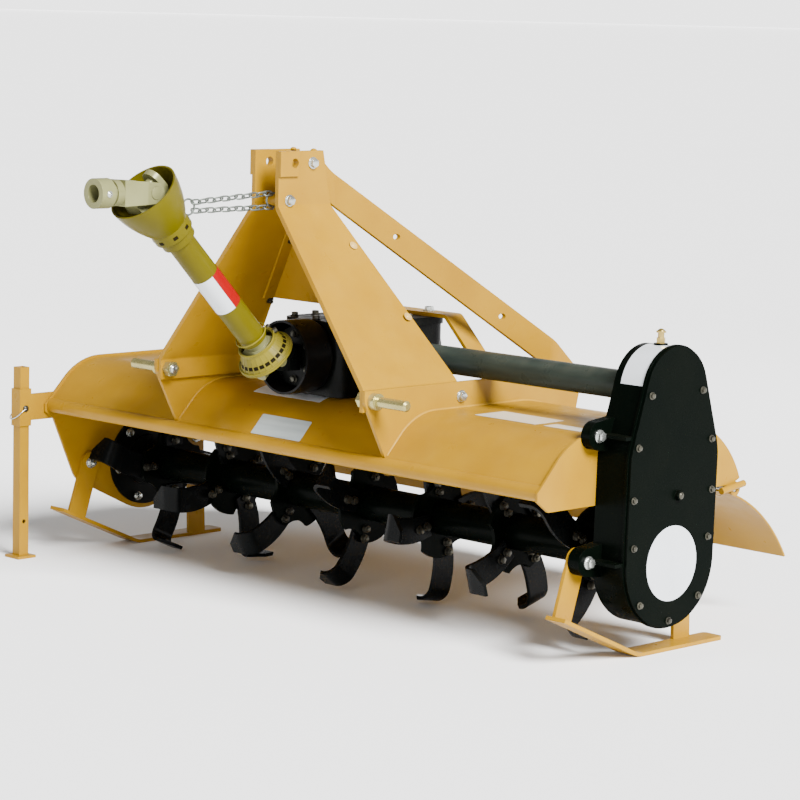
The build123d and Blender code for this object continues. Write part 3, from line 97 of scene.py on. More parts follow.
class Graph:
    """Node tree of one material, and the one place where its nodes are made."""

    def __init__(self, name: str) -> None:
        """Starts an empty material.

        Args:
            name: The material's name.
        """
        self.material = bpy.data.materials.new(name)
        self.material.use_nodes = True
        self.tree = self.material.node_tree
        self.tree.nodes.clear()

    def node(self, kind: str, settings: dict[str, Any], inputs: dict[Any, Any]) -> bpy.types.Node:
        """Adds a node.

        Args:
            kind: The node's type name.
            settings: Properties to set first.
            inputs: Values or terms by socket name or number.

        Returns:
            The new node.
        """
        made = self.tree.nodes.new(kind)
        for key, value in settings.items():
            setattr(made, key, value)
        for key, value in inputs.items():
            if isinstance(value, Term):
                self.tree.links.new(value.socket, made.inputs[key])
            else:
                made.inputs[key].default_value = value
        return made

    def term(
        self, kind: str, settings: dict[str, Any], inputs: dict[Any, Any], output: Any = 0
    ) -> Term:
        """Adds a node and wraps one of its outputs.

        Args:
            kind: The node's type name.
            settings: Properties to set first.
            inputs: Values or terms by socket name or number.
            output: Name or number of the output wanted.

        Returns:
            The output as a term.
        """
        return Term(self, self.node(kind, settings, inputs).outputs[output])

    def maths(self, operation: str, first: Any, second: Any) -> Term:
        """A Math node of two terms or numbers."""
        return self.term("ShaderNodeMath", {"operation": operation}, {0: first, 1: second})

    def place(self, scale: Sequence[float] = (1.0, 1.0, 1.0)) -> Term:
        """Object coordinates, scaled by axis."""
        spot = self.term("ShaderNodeTexCoord", {}, {}, "Object")
        return self.term("ShaderNodeMapping", {}, {"Vector": spot, "Scale": Vector(scale)})

    def noise(self, scale: float, detail: float, stretch: Sequence[float] = (1.0, 1.0, 1.0)) -> Term:
        """Fractal noise over the object.

        Args:
            scale: Features per metre.
            detail: Octaves.
            stretch: Scale by axis.

        Returns:
            The noise value.
        """
        spot = self.place(stretch)
        return self.term(
            "ShaderNodeTexNoise", {}, {"Vector": spot, "Scale": scale, "Detail": detail}
        )

    def blend(self, factor: Any, first: Any, second: Any) -> Term:
        """Mix of two colours by a factor."""
        return self.term(
            "ShaderNodeMix", {"data_type": "RGBA"}, {0: factor, 6: first, 7: second}, 2
        )

    def edge(self, radius: float) -> Term:
        """Mask of the piece's sharp edges.

        Args:
            radius: How far it reaches from an edge, in metres.

        Returns:
            1 at sharp edges and 0 on faces.
        """
        soft = self.rounded(radius)
        hard = self.term("ShaderNodeNewGeometry", {}, {}, "Normal")
        match = self.term("ShaderNodeVectorMath", {"operation": "DOT_PRODUCT"}, {0: soft, 1: hard}, 1)
        return (1.0 - match).held(0.02, 0.22)

    def rounded(self, radius: float) -> Term:
        """Normal that turns smoothly over the piece's edges."""
        return self.term("ShaderNodeBevel", {"samples": 4}, {"Radius": radius})

    def surface(self, inputs: dict[str, Any]) -> bpy.types.Material:
        """Ends the tree in a principled shader.

        Args:
            inputs: Values or terms of the shader's sockets, by name.

        Returns:
            The material.
        """
        shader = self.node("ShaderNodeBsdfPrincipled", {}, inputs)
        self.node("ShaderNodeOutputMaterial", {}, {0: Term(self, shader.outputs[0])})
        return self.material


def linear(red: int, green: int, blue: int) -> Quad:
    """Linear colour of a colour given in the usual 0 to 255 steps."""
    steps = [value / 255.0 for value in (red, green, blue)]
    return (*[s / 12.92 if s <= 0.04045 else ((s + 0.055) / 1.055) ** 2.4 for s in steps], 1.0)


@dataclass(frozen=True)
class Finish:
    """A surface finish: two tones that drift into each other, edge wear, dust, grain and gloss."""

    name: str
    tone: Rgb
    shade: Rgb
    bare: Rgb
    roughness: float = 0.35
    rough_spread: float = 0.15
    metallic: float = 0.0
    coat: float = 0.0
    coat_roughness: float = 0.08
    wear: float = 0.35
    dust: float = 0.10
    grain: float = 900.0
    grain_depth: float = 0.02
    edge_mm: float = 1.2
    cloud: float = 9.0
    streak: Triple = (1.0, 1.0, 1.0)
    gloss: float = 0.5

    def material(self) -> bpy.types.Material:
        """Builds the node material.

        Returns:
            The material.
        """
        graph = Graph(self.name)
        cloud = graph.noise(self.cloud, 4.0, self.streak).held(0.35, 0.70)
        tone = graph.blend(cloud, linear(*self.tone), linear(*self.shade))
        chips = graph.noise(160.0, 6.0).held(0.52, 0.64)
        edge = graph.edge(self.edge_mm * MM)
        worn = edge * chips * self.wear
        specks = graph.noise(420.0, 2.0).held(0.70, 0.76) * (0.5 * self.wear)
        worn = graph.maths("MAXIMUM", worn, specks)
        up = graph.term("ShaderNodeNewGeometry", {}, {}, "Normal")
        height = graph.term("ShaderNodeSeparateXYZ", {}, {0: up}, 2)
        settled = height.held(0.2, 1.0) * graph.noise(24.0, 5.0).held(0.40, 0.75) * self.dust
        tone = graph.blend(worn, tone, linear(*self.bare))
        tone = graph.blend(settled, tone, linear(176, 160, 132))
        patch = graph.noise(34.0, 5.0).held(0.30, 0.75)
        rough = patch * self.rough_spread + (self.roughness - self.rough_spread / 2)
        rough = graph.maths("MINIMUM", rough + settled * 0.5 + worn * 0.2, 0.95)
        fine = graph.noise(self.grain, 2.0, self.streak)
        bump = graph.term(
            "ShaderNodeBump",
            {},
            {
                "Strength": 0.35,
                "Distance": self.grain_depth * MM,
                "Height": fine + worn * -2.0,
                "Normal": graph.rounded(self.edge_mm * MM),
            },
        )
        return graph.surface(
            {
                "Base Color": tone,
                "Metallic": self.metallic,
                "Roughness": rough,
                "Coat Weight": self.coat,
                "Coat Roughness": self.coat_roughness,
                "Specular IOR Level": self.gloss,
                "Normal": bump,
            }
        )


PRIMER = (96, 84, 66)


class Coats(Enum):
    """Every finish on the machine."""

    YELLOW = Finish(
        "tiller_yellow", (148, 110, 14), (139, 101, 10), PRIMER,
        roughness=0.34, gloss=0.14, wear=0.2, dust=0.03, grain=700.0, grain_depth=0.05,
    )
    BRIGHT = Finish(
        "cream_bolt_paint", (182, 150, 84), (166, 134, 68), PRIMER,
        roughness=0.30, gloss=0.2, wear=0.2, dust=0.05, grain=900.0, grain_depth=0.03, edge_mm=0.5,
    )
    WELD = Finish(
        "painted_weld", (158, 120, 34), (146, 108, 26), PRIMER,
        roughness=0.34, gloss=0.12, wear=0.2, dust=0.06, grain=240.0, grain_depth=1.4,
        streak=(1.0, 2.0, 1.0),
    )
    BLACK = Finish(
        "black_gloss_paint", (2, 5, 3), (4, 7, 4), (54, 56, 52),
        roughness=0.30, gloss=0.02, wear=0.16, dust=0.01, grain=500.0, grain_depth=0.08,
    )
    CASTING = Finish(
        "black_cast_iron", (6, 7, 6), (11, 13, 11), (56, 56, 52),
        roughness=0.38, rough_spread=0.25, gloss=0.06, wear=0.25, dust=0.03, grain=260.0, grain_depth=0.6,
    )
    SHIELD = Finish(
        "black_shield_plastic", (6, 6, 6), (10, 10, 10), (40, 40, 38),
        roughness=0.34, gloss=0.08, wear=0.1, dust=0.03, grain=900.0, grain_depth=0.08,
    )
    SLATE = Finish(
        "slate_tube_paint", (42, 49, 44), (35, 41, 37), (80, 84, 80),
        roughness=0.32, gloss=0.08, wear=0.2, dust=0.05, grain=600.0, grain_depth=0.05,
        streak=(1.0, 6.0, 6.0),
    )
    TINE = Finish(
        "black_tine_paint", (6, 7, 7), (10, 12, 12), (84, 84, 80),
        roughness=0.26, rough_spread=0.2, gloss=0.06, wear=0.25, dust=0.01, grain=220.0, grain_depth=0.2,
    )
    ZINC = Finish(
        "zinc_plate", (196, 200, 196), (164, 166, 158), (120, 110, 92),
        roughness=0.26, metallic=0.9, wear=0.2, dust=0.04, grain=1400.0, grain_depth=0.02, edge_mm=0.5,
    )
    DARK_ZINC = Finish(
        "dulled_zinc", (72, 70, 60), (48, 47, 42), (110, 106, 92),
        roughness=0.34, metallic=0.8, wear=0.3, dust=0.05, grain=1200.0, grain_depth=0.02, edge_mm=0.4,
    )
    CHAIN = Finish(
        "dull_zinc_chain", (104, 110, 104), (78, 84, 78), (90, 86, 76),
        roughness=0.40, metallic=0.5, wear=0.2, dust=0.05, grain=1200.0, grain_depth=0.02, edge_mm=0.3,
    )
    PASSIVATED = Finish(
        "yellow_zinc_pin", (176, 168, 112), (150, 138, 84), (120, 116, 96),
        roughness=0.28, metallic=0.75, wear=0.3, dust=0.05, grain=1200.0, grain_depth=0.02, edge_mm=0.6,
    )
    BRASS = Finish(
        "brass_breather", (196, 170, 96), (160, 138, 78), (110, 96, 60),
        roughness=0.28, metallic=0.9, wear=0.3, dust=0.05, grain=1200.0, grain_depth=0.02, edge_mm=0.5,
    )
    GUARD = Finish(
        "olive_guard_plastic", (80, 73, 4), (73, 65, 3), (120, 112, 30),
        roughness=0.36, gloss=0.1, wear=0.15, dust=0.06, grain=700.0, grain_depth=0.06, edge_mm=0.9,
    )
    BELL = Finish(
        "khaki_bell_plastic", (106, 97, 26), (96, 87, 18), (146, 138, 64),
        roughness=0.38, gloss=0.12, wear=0.15, dust=0.08, grain=700.0, grain_depth=0.06, edge_mm=0.9,
    )
    # Painted shade: a darkened copy of the guard's olive that stands for the shade inside the guard's slots.
    SLOT = Finish(
        "painted_slot_shade", (22, 18, 3), (15, 12, 2), (40, 34, 12),
        roughness=0.7, gloss=0.05, wear=0.0, dust=0.0, grain=700.0, grain_depth=0.05, edge_mm=0.3,
    )
    JOINT = Finish(
        "joint_forging", (120, 120, 80), (104, 103, 66), (140, 140, 126),
        roughness=0.38, rough_spread=0.2, metallic=0.2, gloss=0.2, wear=0.35, dust=0.08, grain=380.0,
        grain_depth=0.25,
    )
    LABEL = Finish(
        "blank_label_film", (196, 200, 204), (188, 192, 196), (130, 132, 132),
        roughness=0.30, rough_spread=0.08, coat=0.3, wear=0.05, dust=0.04, grain=500.0, grain_depth=0.03,
        edge_mm=0.3,
    )
    PALE_LABEL = Finish(
        "blank_deck_film", (206, 200, 186), (196, 188, 170), (170, 156, 124),
        roughness=0.32, rough_spread=0.08, coat=0.3, wear=0.05, dust=0.04, grain=500.0, grain_depth=0.03,
        edge_mm=0.3,
    )
    RED_LABEL = Finish(
        "red_label_film", (128, 1, 6), (118, 1, 5), (170, 60, 60),
        roughness=0.30, rough_spread=0.08, gloss=0.12, wear=0.05, dust=0.03, grain=500.0, grain_depth=0.03,
        edge_mm=0.3,
    )
    PLATE = Finish(
        "blank_data_plate", (176, 186, 186), (160, 170, 172), (150, 154, 150),
        roughness=0.34, rough_spread=0.1, metallic=0.2, wear=0.15, dust=0.05, grain=900.0, grain_depth=0.03,
        edge_mm=0.4, streak=(1.0, 12.0, 12.0),
    )

    @property
    def coat(self) -> bpy.types.Material:
        """The finish's material, made on first use."""
        return bpy.data.materials.get(self.value.name) or self.value.material()


NODE_COATS = {
    Coats.YELLOW: (
        "deck_shell", "end_plate_left", "end_plate_right", "side_plate_left", "side_plate_right",
        "mast_leg_left", "mast_leg_right", "brace_left", "brace_right", "mast_cross", "gearbox_strap",
        "skid_left", "skid_right", "stand_sleeve", "stand_leg", "stand_foot", "gate_panel", "spacer_sleeve",
    ),
    Coats.BLACK: ("case_body", "case_cover", "rotor_tube"),
    Coats.CASTING: ("gearbox_housing", "gearbox_rear_cover", "bearing_flange", "inner_yoke"),
    Coats.SHIELD: ("input_cup",),
    Coats.SLATE: ("side_tube",),
    Coats.TINE: ("tines_left", "tines_right"),
    Coats.ZINC: ("stand_pin", "gate_rod", "holding_chain"),
    Coats.PASSIVATED: ("hitch_pin_left", "hitch_pin_right"),
    Coats.BRASS: ("case_breather",),
    Coats.GUARD: ("guard_tube", "guard_cone"),
    Coats.BELL: ("guard_bell",),
    Coats.JOINT: ("tractor_yoke", "inner_cross", "outer_cross", "shaft_core"),
}


def dress_nodes() -> None:
    """Gives every CAD node its finish."""
    for finish, names in NODE_COATS.items():
        for name in names:
            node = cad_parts.get(name)
            if node is None:
                LOG.warning("no node %s", name)
                continue
            node.data.materials.clear()
            node.data.materials.append(finish.coat)


# ---- datum lines -------------------------------------------------------------------------


def centre(node: str) -> Vector:
    """Middle of a CAD node's box."""
    low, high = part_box(node)
    return (Vector(low) + Vector(high)) / 2


MID_X = centre("deck_shell").x
AXIS_Y = centre("rotor_tube").y


# ---- modelling steps ---------------------------------------------------------------------


class Bench:
    """The modelling steps that every sub-assembly uses, each on one new object."""

    @staticmethod
    def clear() -> None:
        """Leaves edit mode and deselects everything."""
        if bpy.context.object is not None and bpy.context.object.mode != "OBJECT":
            bpy.ops.object.mode_set(mode="OBJECT")
        bpy.ops.object.select_all(action="DESELECT")

    @staticmethod
    def open_up() -> None:
        """Enters edit mode on the active object with everything selected."""
        bpy.ops.object.mode_set(mode="EDIT")
        bpy.ops.mesh.select_all(action="SELECT")

    @staticmethod
    def pick(test: Callable[[Vector, Vector], bool]) -> None:
        """Selects in edit mode the faces whose middle and normal pass the test.

        Args:
            test: Takes a face's middle and normal in the object's own axes.
        """
        mesh = bpy.context.object.data
        shape = bmesh.from_edit_mesh(mesh)
        bpy.ops.mesh.select_all(action="DESELECT")
        for face in shape.faces:
            if test(face.calc_center_median(), face.normal):
                face.select_set(True)
        bmesh.update_edit_mesh(mesh)

    @staticmethod
    def pick_points(test: Callable[[Vector], bool]) -> None:
        """Selects in edit mode the vertices whose place passes the test.

        Args:
            test: Takes a vertex's place in the object's own axes.
        """
        mesh = bpy.context.object.data
        shape = bmesh.from_edit_mesh(mesh)
        bpy.ops.mesh.select_all(action="DESELECT")
        for point in shape.verts:
            point.select = test(point.co)
        shape.select_flush(True)
        bmesh.update_edit_mesh(mesh)

    @staticmethod
    def cylinder(radius: float, height: float, sides: int, base: float = 0.0) -> Piece:
        """Cylinder standing on the local XY plane.

        Args:
            radius: In millimetres.
            height: In millimetres.
            sides: Number of sides.
            base: Height of its foot in millimetres.

        Returns:
            The new object, active and in edit mode.
        """
        Bench.clear()
        bpy.ops.mesh.primitive_cylinder_add(
            vertices=sides, radius=radius * MM, depth=height * MM, location=(0, 0, (base + height / 2) * MM)
        )
        bpy.ops.object.transform_apply(location=True, rotation=True, scale=True)
        bpy.ops.object.mode_set(mode="EDIT")
        return bpy.context.object

    @staticmethod
    def break_rim(inset: float, drop: float, level: float) -> None:
        """Insets and lifts, in millimetres, the edit object's upward faces that lie above a level."""
        Bench.pick(lambda middle, normal: normal.z > 0.9 and middle.z > level * MM)
        bpy.ops.mesh.inset(thickness=inset * MM, depth=drop * MM)

    @staticmethod
    def thicken(made: Piece, thick: float) -> None:
        """Gives a sheet its thickness, outwards from its face.

        Args:
            made: The sheet.
            thick: In millimetres.
        """
        skin = made.modifiers.new("thickness", "SOLIDIFY")
        skin.thickness = thick * MM
        skin.offset = 1.0
        bpy.ops.object.modifier_apply(modifier="thickness")

    @staticmethod
    def stood(at: Vector, way: Vector) -> Matrix:
        """Place whose Z axis is a direction."""
        return Matrix.Translation(at) @ way.to_track_quat("Z", "Y").to_matrix().to_4x4()

    @staticmethod
    def twin(proto: Piece, frame_at: Matrix) -> Piece:
        """Copy of a prototype in a new place, with its own mesh.

        Args:
            proto: The prototype.
            frame_at: The copy's place and turn.

        Returns:
            The copy.
        """
        made = proto.copy()
        made.data = proto.data.copy()
        bpy.context.collection.objects.link(made)
        made.matrix_world = frame_at
        return made

    @staticmethod
    def done(smooth: float = 35.0) -> Piece:
        """Leaves edit mode and smooths the shading below an angle.

        Args:
            smooth: Angle in degrees.

        Returns:
            The object.
        """
        bpy.ops.object.mode_set(mode="OBJECT")
        made = bpy.context.object
        made.select_set(True)
        bpy.ops.object.shade_smooth_by_angle(angle=radians(smooth))
        return made

    @staticmethod
    def join(parts: Sequence[Piece], name: str) -> Piece:
        """Joins objects into one that sits at the origin.

        Args:
            parts: The objects.
            name: The name of the result.

        Returns:
            The joined object.
        """
        Bench.clear()
        for part in parts:
            part.select_set(True)
        bpy.context.view_layer.objects.active = parts[0]
        if len(parts) > 1:
            bpy.ops.object.join()
        made = bpy.context.object
        bpy.ops.object.transform_apply(location=True, rotation=True, scale=True)
        made.name = name
        made.data.name = name
        return made

    @staticmethod
    def copy(proto: Piece, spot: Vector, way: Vector, spin: float = 0.0) -> Piece:
        """Copy of a prototype, its local Z turned to a direction and then spun about it in degrees."""
        spun = Matrix.Rotation(radians(spin), 4, "Z")
        return Bench.twin(proto, Bench.stood(spot, way) @ spun)

    @staticmethod
    def tube_patch(
        spot: Vector, way: Vector, radius: float, length: float, start: float, sweep: float, thick: float
    ) -> Piece:
        """Thin patch that lies on a round surface.

        Args:
            spot: Middle of the patch's length on the surface's axis, in metres.
            way: Direction of the axis.
            radius: Radius of its inner face in millimetres.
            length: Along the axis in millimetres.
            start: First edge in degrees about the axis, from the axis's own X.
            sweep: Angle that it covers, under 180 degrees.
            thick: Thickness in millimetres.

        Returns:
            The patch.
        """
        Bench.clear()
        bpy.ops.mesh.primitive_cylinder_add(
            vertices=180, radius=radius * MM, depth=length * MM, end_fill_type="NOTHING"
        )
        made = bpy.context.object
        bpy.ops.object.mode_set(mode="EDIT")
        for angle, sign in ((start, -1.0), (start + sweep, 1.0)):
            bpy.ops.mesh.select_all(action="SELECT")
            normal = Vector((-sin(radians(angle)), cos(radians(angle)), 0.0)) * sign
            bpy.ops.mesh.bisect(plane_co=(0, 0, 0), plane_no=normal, clear_outer=True)
        bpy.ops.mesh.select_all(action="SELECT")
        bpy.ops.mesh.normals_make_consistent(inside=False)
        bpy.ops.object.mode_set(mode="OBJECT")
        Bench.thicken(made, thick)
        made.matrix_world = Bench.stood(spot, way)
        bpy.ops.object.shade_smooth_by_angle(angle=radians(35.0))
        return made

    @staticmethod
    def plate(width: float, height: float, thick: float, corner: float) -> Piece:
        """Flat plate with rounded corners, lying on the local XY plane.

        Args:
            width: Along X in millimetres.
            height: Along Y in millimetres.
            thick: Thickness in millimetres.
            corner: Corner radius in millimetres.

        Returns:
            The plate, at the origin.
        """
        Bench.clear()
        bpy.ops.mesh.primitive_plane_add(size=MM)
        made = bpy.context.object
        Bench.open_up()
        bpy.ops.transform.resize(value=(width, height, 1.0))
        bpy.ops.mesh.bevel(offset=corner * MM, segments=4, affect="VERTICES")
        bpy.ops.object.mode_set(mode="OBJECT")
        Bench.thicken(made, thick)
        return made

    @staticmethod
    def laid(at: Vector, face: Vector, along: Vector) -> Matrix:
        """Place whose Z axis is one direction and whose X axis is near another.

        Args:
            at: The place's origin, in metres.
            face: Direction of the Z axis.
            along: Direction that the X axis stays near.

        Returns:
            The place as a matrix.
        """
        up = face.normalized()
        side = (along - up * along.dot(up)).normalized()
        return Matrix.Translation(at) @ Matrix((side, up.cross(side), up)).transposed().to_4x4()

    @staticmethod
    def lay(proto: Piece, at: Vector, face: Vector, along: Vector) -> Piece:
        """Copy of a prototype, its local Z on one direction and its local X near another."""
        return Bench.twin(proto, Bench.laid(at, face, along))

    @staticmethod
    def wire(name: str, path: Sequence[Vector], radius: float) -> Piece:
        """Bent wire along a smooth line through its points.

        Args:
            name: The piece's name.
            path: Points in metres.
            radius: In millimetres.

        Returns:
            The wire as a mesh, with its place in its mesh.
        """
        Bench.clear()
        line = bpy.data.curves.new(name, "CURVE")
        line.dimensions = "3D"
        line.bevel_depth = radius * MM
        line.bevel_resolution = 2
        line.use_fill_caps = True
        spline = line.splines.new("NURBS")
        spline.points.add(len(path) - 1)
        for point, at in zip(spline.points, path):
            point.co = (*at, 1.0)
        spline.order_u = 3
        spline.use_endpoint_u = True
        made = bpy.data.objects.new(name, line)
        bpy.context.collection.objects.link(made)
        made.select_set(True)
        bpy.context.view_layer.objects.active = made
        bpy.ops.object.convert(target="MESH")
        return Bench.join([bpy.context.object], name)

    @staticmethod
    def rod(name: str, path: Sequence[Vector], radius: float, sides: int = 8) -> Piece:
        """Round bar along a path that runs mostly fore and aft, extruded from point to point.

        Args:
            name: The piece's name.
            path: Points in metres.
            radius: In millimetres.
            sides: Sides of the section.

        Returns:
            The bar, with its place in its mesh.
        """
        Bench.clear()
        bpy.ops.mesh.primitive_circle_add(
            vertices=sides, radius=radius * MM, rotation=(pi / 2, 0, 0), location=path[0], fill_type="NGON"
        )
        bpy.ops.object.transform_apply(location=True, rotation=True, scale=True)
        Bench.open_up()
        for start, end in zip(path, path[1:]):
            bpy.ops.mesh.extrude_region_move(TRANSFORM_OT_translate={"value": end - start})
        bpy.ops.mesh.select_all(action="SELECT")
        bpy.ops.mesh.normals_make_consistent(inside=False)
        made = Bench.done(60.0)
        made.name = name
        return made

    @staticmethod
    def hoop(radius: float, wire: float, around: int) -> Piece:
        """Ring of round wire on the local XY plane.

        Args:
            radius: Of the wire's centre line, in millimetres.
            wire: Wire thickness in millimetres.
            around: Number of steps round the ring.

        Returns:
            The ring, active, at the origin.
        """
        Bench.clear()
        bpy.ops.mesh.primitive_torus_add(
            major_radius=radius * MM, minor_radius=wire / 2 * MM, major_segments=around, minor_segments=8
        )
        return bpy.context.object

    @staticmethod
    def oval(length: float, width: float, wire: float) -> Piece:
        """Chain link of round wire, lying on the local XY plane with its length along X.

        Args:
            length: Over its ends, in millimetres.
            width: Over its sides, in millimetres.
            wire: Wire thickness in millimetres.

        Returns:
            The link, at the origin.
        """
        Bench.hoop((width - wire) / 2, wire, 16)
        bpy.ops.object.mode_set(mode="EDIT")
        shift = (length - width) / 2 * MM
        for side in (-1, 1):
            Bench.pick_points(lambda at: at.x * side > width * 0.05 * MM)
            bpy.ops.transform.translate(value=(side * shift, 0, 0))
        return Bench.done(60.0)


def finished(piece: Piece, finish: Coats, body: str, slot: str, *nodes: str) -> Piece:
    """Gives a finished piece its finish and its place in the machine.

    Args:
        piece: The piece, at the origin.
        finish: Its finish.
        body: The CAD body that it rides on.
        slot: Not used.
        *nodes: CAD nodes that it stands for.

    Returns:
        The piece.
    """
    piece.data.materials.clear()
    piece.data.materials.append(finish.coat)
    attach(piece, body)
    if nodes:
        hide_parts(*nodes)
    LOG.info("%s: %d faces, rides on %s", piece.name, len(piece.data.polygons), body)
    return piece


def spot(x: float, y: float, z: float) -> Vector:
    """Point in metres from millimetres: lateral from the mast, fore and aft from the rotor axis, height."""
    return Vector((MID_X + x * MM, AXIS_Y + y * MM, z * MM))


# ---- fasteners ---------------------------------------------------------------------------


@dataclass
class HexBolt:
    """Hexagon bolt head on a washer, standing on the local XY plane."""

    across: float = 17.0
    head: float = 7.0
    washer: float = 15.0
    washer_t: float = 2.2
    stub: float = 0.0

    def build(self) -> Piece:
        """Models the head, its washer and, if asked, the thread that stands out of a nut.

        Returns:
            The prototype, at the origin.
        """
        Bench.cylinder(self.across / 3**0.5, self.head, 6, self.washer_t)
        Bench.break_rim(self.across * 0.10, self.across * 0.05, self.head / 2)
        parts = [Bench.done()]
        Bench.cylinder(self.washer, self.washer_t, 24)
        Bench.break_rim(1.0, 0.5, self.washer_t / 2)
        parts.append(Bench.done())
        if self.stub:
            Bench.cylinder(self.across * 0.3, self.stub, 12, self.washer_t + self.head)
            Bench.break_rim(1.0, 0.8, self.washer_t + self.head + self.stub / 2)
            parts.append(Bench.done())
        return Bench.join(parts, "bolt_pattern")


@dataclass
class DomeBolt:
    """Low domed head, standing on the local XY plane."""

    radius: float = 8.0
    height: float = 5.0
    collar: float = 1.2

    def build(self) -> Piece:
        """Models the dome on a thin collar.

        Returns:
            The prototype, at the origin.
        """
        Bench.clear()
        bpy.ops.mesh.primitive_uv_sphere_add(segments=20, ring_count=10, radius=self.radius * MM)
        Bench.open_up()
        bpy.ops.transform.resize(value=(1.0, 1.0, self.height / self.radius))
        bpy.ops.mesh.bisect(plane_co=(0, 0, 0), plane_no=(0, 0, -1), clear_outer=True, use_fill=True)
        dome = Bench.done(60.0)
        Bench.cylinder(self.radius * 1.15, self.collar, 20)
        Bench.break_rim(0.4, 0.3, self.collar / 2)
        return Bench.join([dome, Bench.done()], "dome_pattern")


@dataclass
class BoltSet:
    """A set of like fasteners on one body."""

    name: str
    pattern: HexBolt | DomeBolt
    places: Sequence[Place]
    finish: Coats = Coats.ZINC
    body: str = "frame"
    slot: str = "zinc"

    def build(self) -> Piece:
        """Copies the pattern to every place, each copy turned a little on from the last.

        Returns:
            The joined set.
        """
        proto = self.pattern.build()
        copies = [Bench.copy(proto, at, way, 17.0 * turn) for turn, (at, way) in enumerate(self.places)]
        bpy.data.objects.remove(proto)
        return finished(Bench.join(copies, self.name), self.finish, self.body, self.slot)


def dark_set(name: str, pattern: HexBolt | DomeBolt, places: Sequence[Place]) -> None:
    """Dulled fasteners on a black casting."""
    BoltSet(name, pattern, places, Coats.DARK_ZINC, slot="black_casting").build()


RIGHT, LEFT = Vector((1, 0, 0)), Vector((-1, 0, 0))
FORWARD, BACK = Vector((0, -1, 0)), Vector((0, 1, 0))
UP = Vector((0, 0, 1))
DECK_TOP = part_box("deck_shell")[1][2] / MM
ROTOR_Z = centre("rotor_tube").z / MM
INPUT_Z = centre("side_tube").z / MM
HITCH_Z = centre("hitch_pin_left").z / MM
HEAD_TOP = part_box("mast_leg_left")[1][2] / MM
SLEEVE_Z = centre("spacer_sleeve").z / MM
SIDE_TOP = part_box("side_plate_left")[1][2] / MM
BOX_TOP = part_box("gearbox_housing")[1][2] / MM


@dataclass
class Sticker:
    """Blank label: a thin plate with a plain field and a faint border."""

    name: str
    width: float
    height: float
    at: Vector
    along: Vector
    face: Vector
    finish: Coats = Coats.LABEL
    corner: float = 3.0
    thick: float = 0.5
    lift: float = 0.4

    def build(self) -> Piece:
        """Lays the label on its face.

        Returns:
            The label.
        """
        made = Bench.plate(self.width, self.height, self.thick, self.corner)
        face = self.face.normalized()
        made.matrix_world = Bench.laid(self.at + face * self.lift * MM, face, self.along)
        return finished(Bench.join([made], self.name), self.finish, "frame", "yellow_paint")


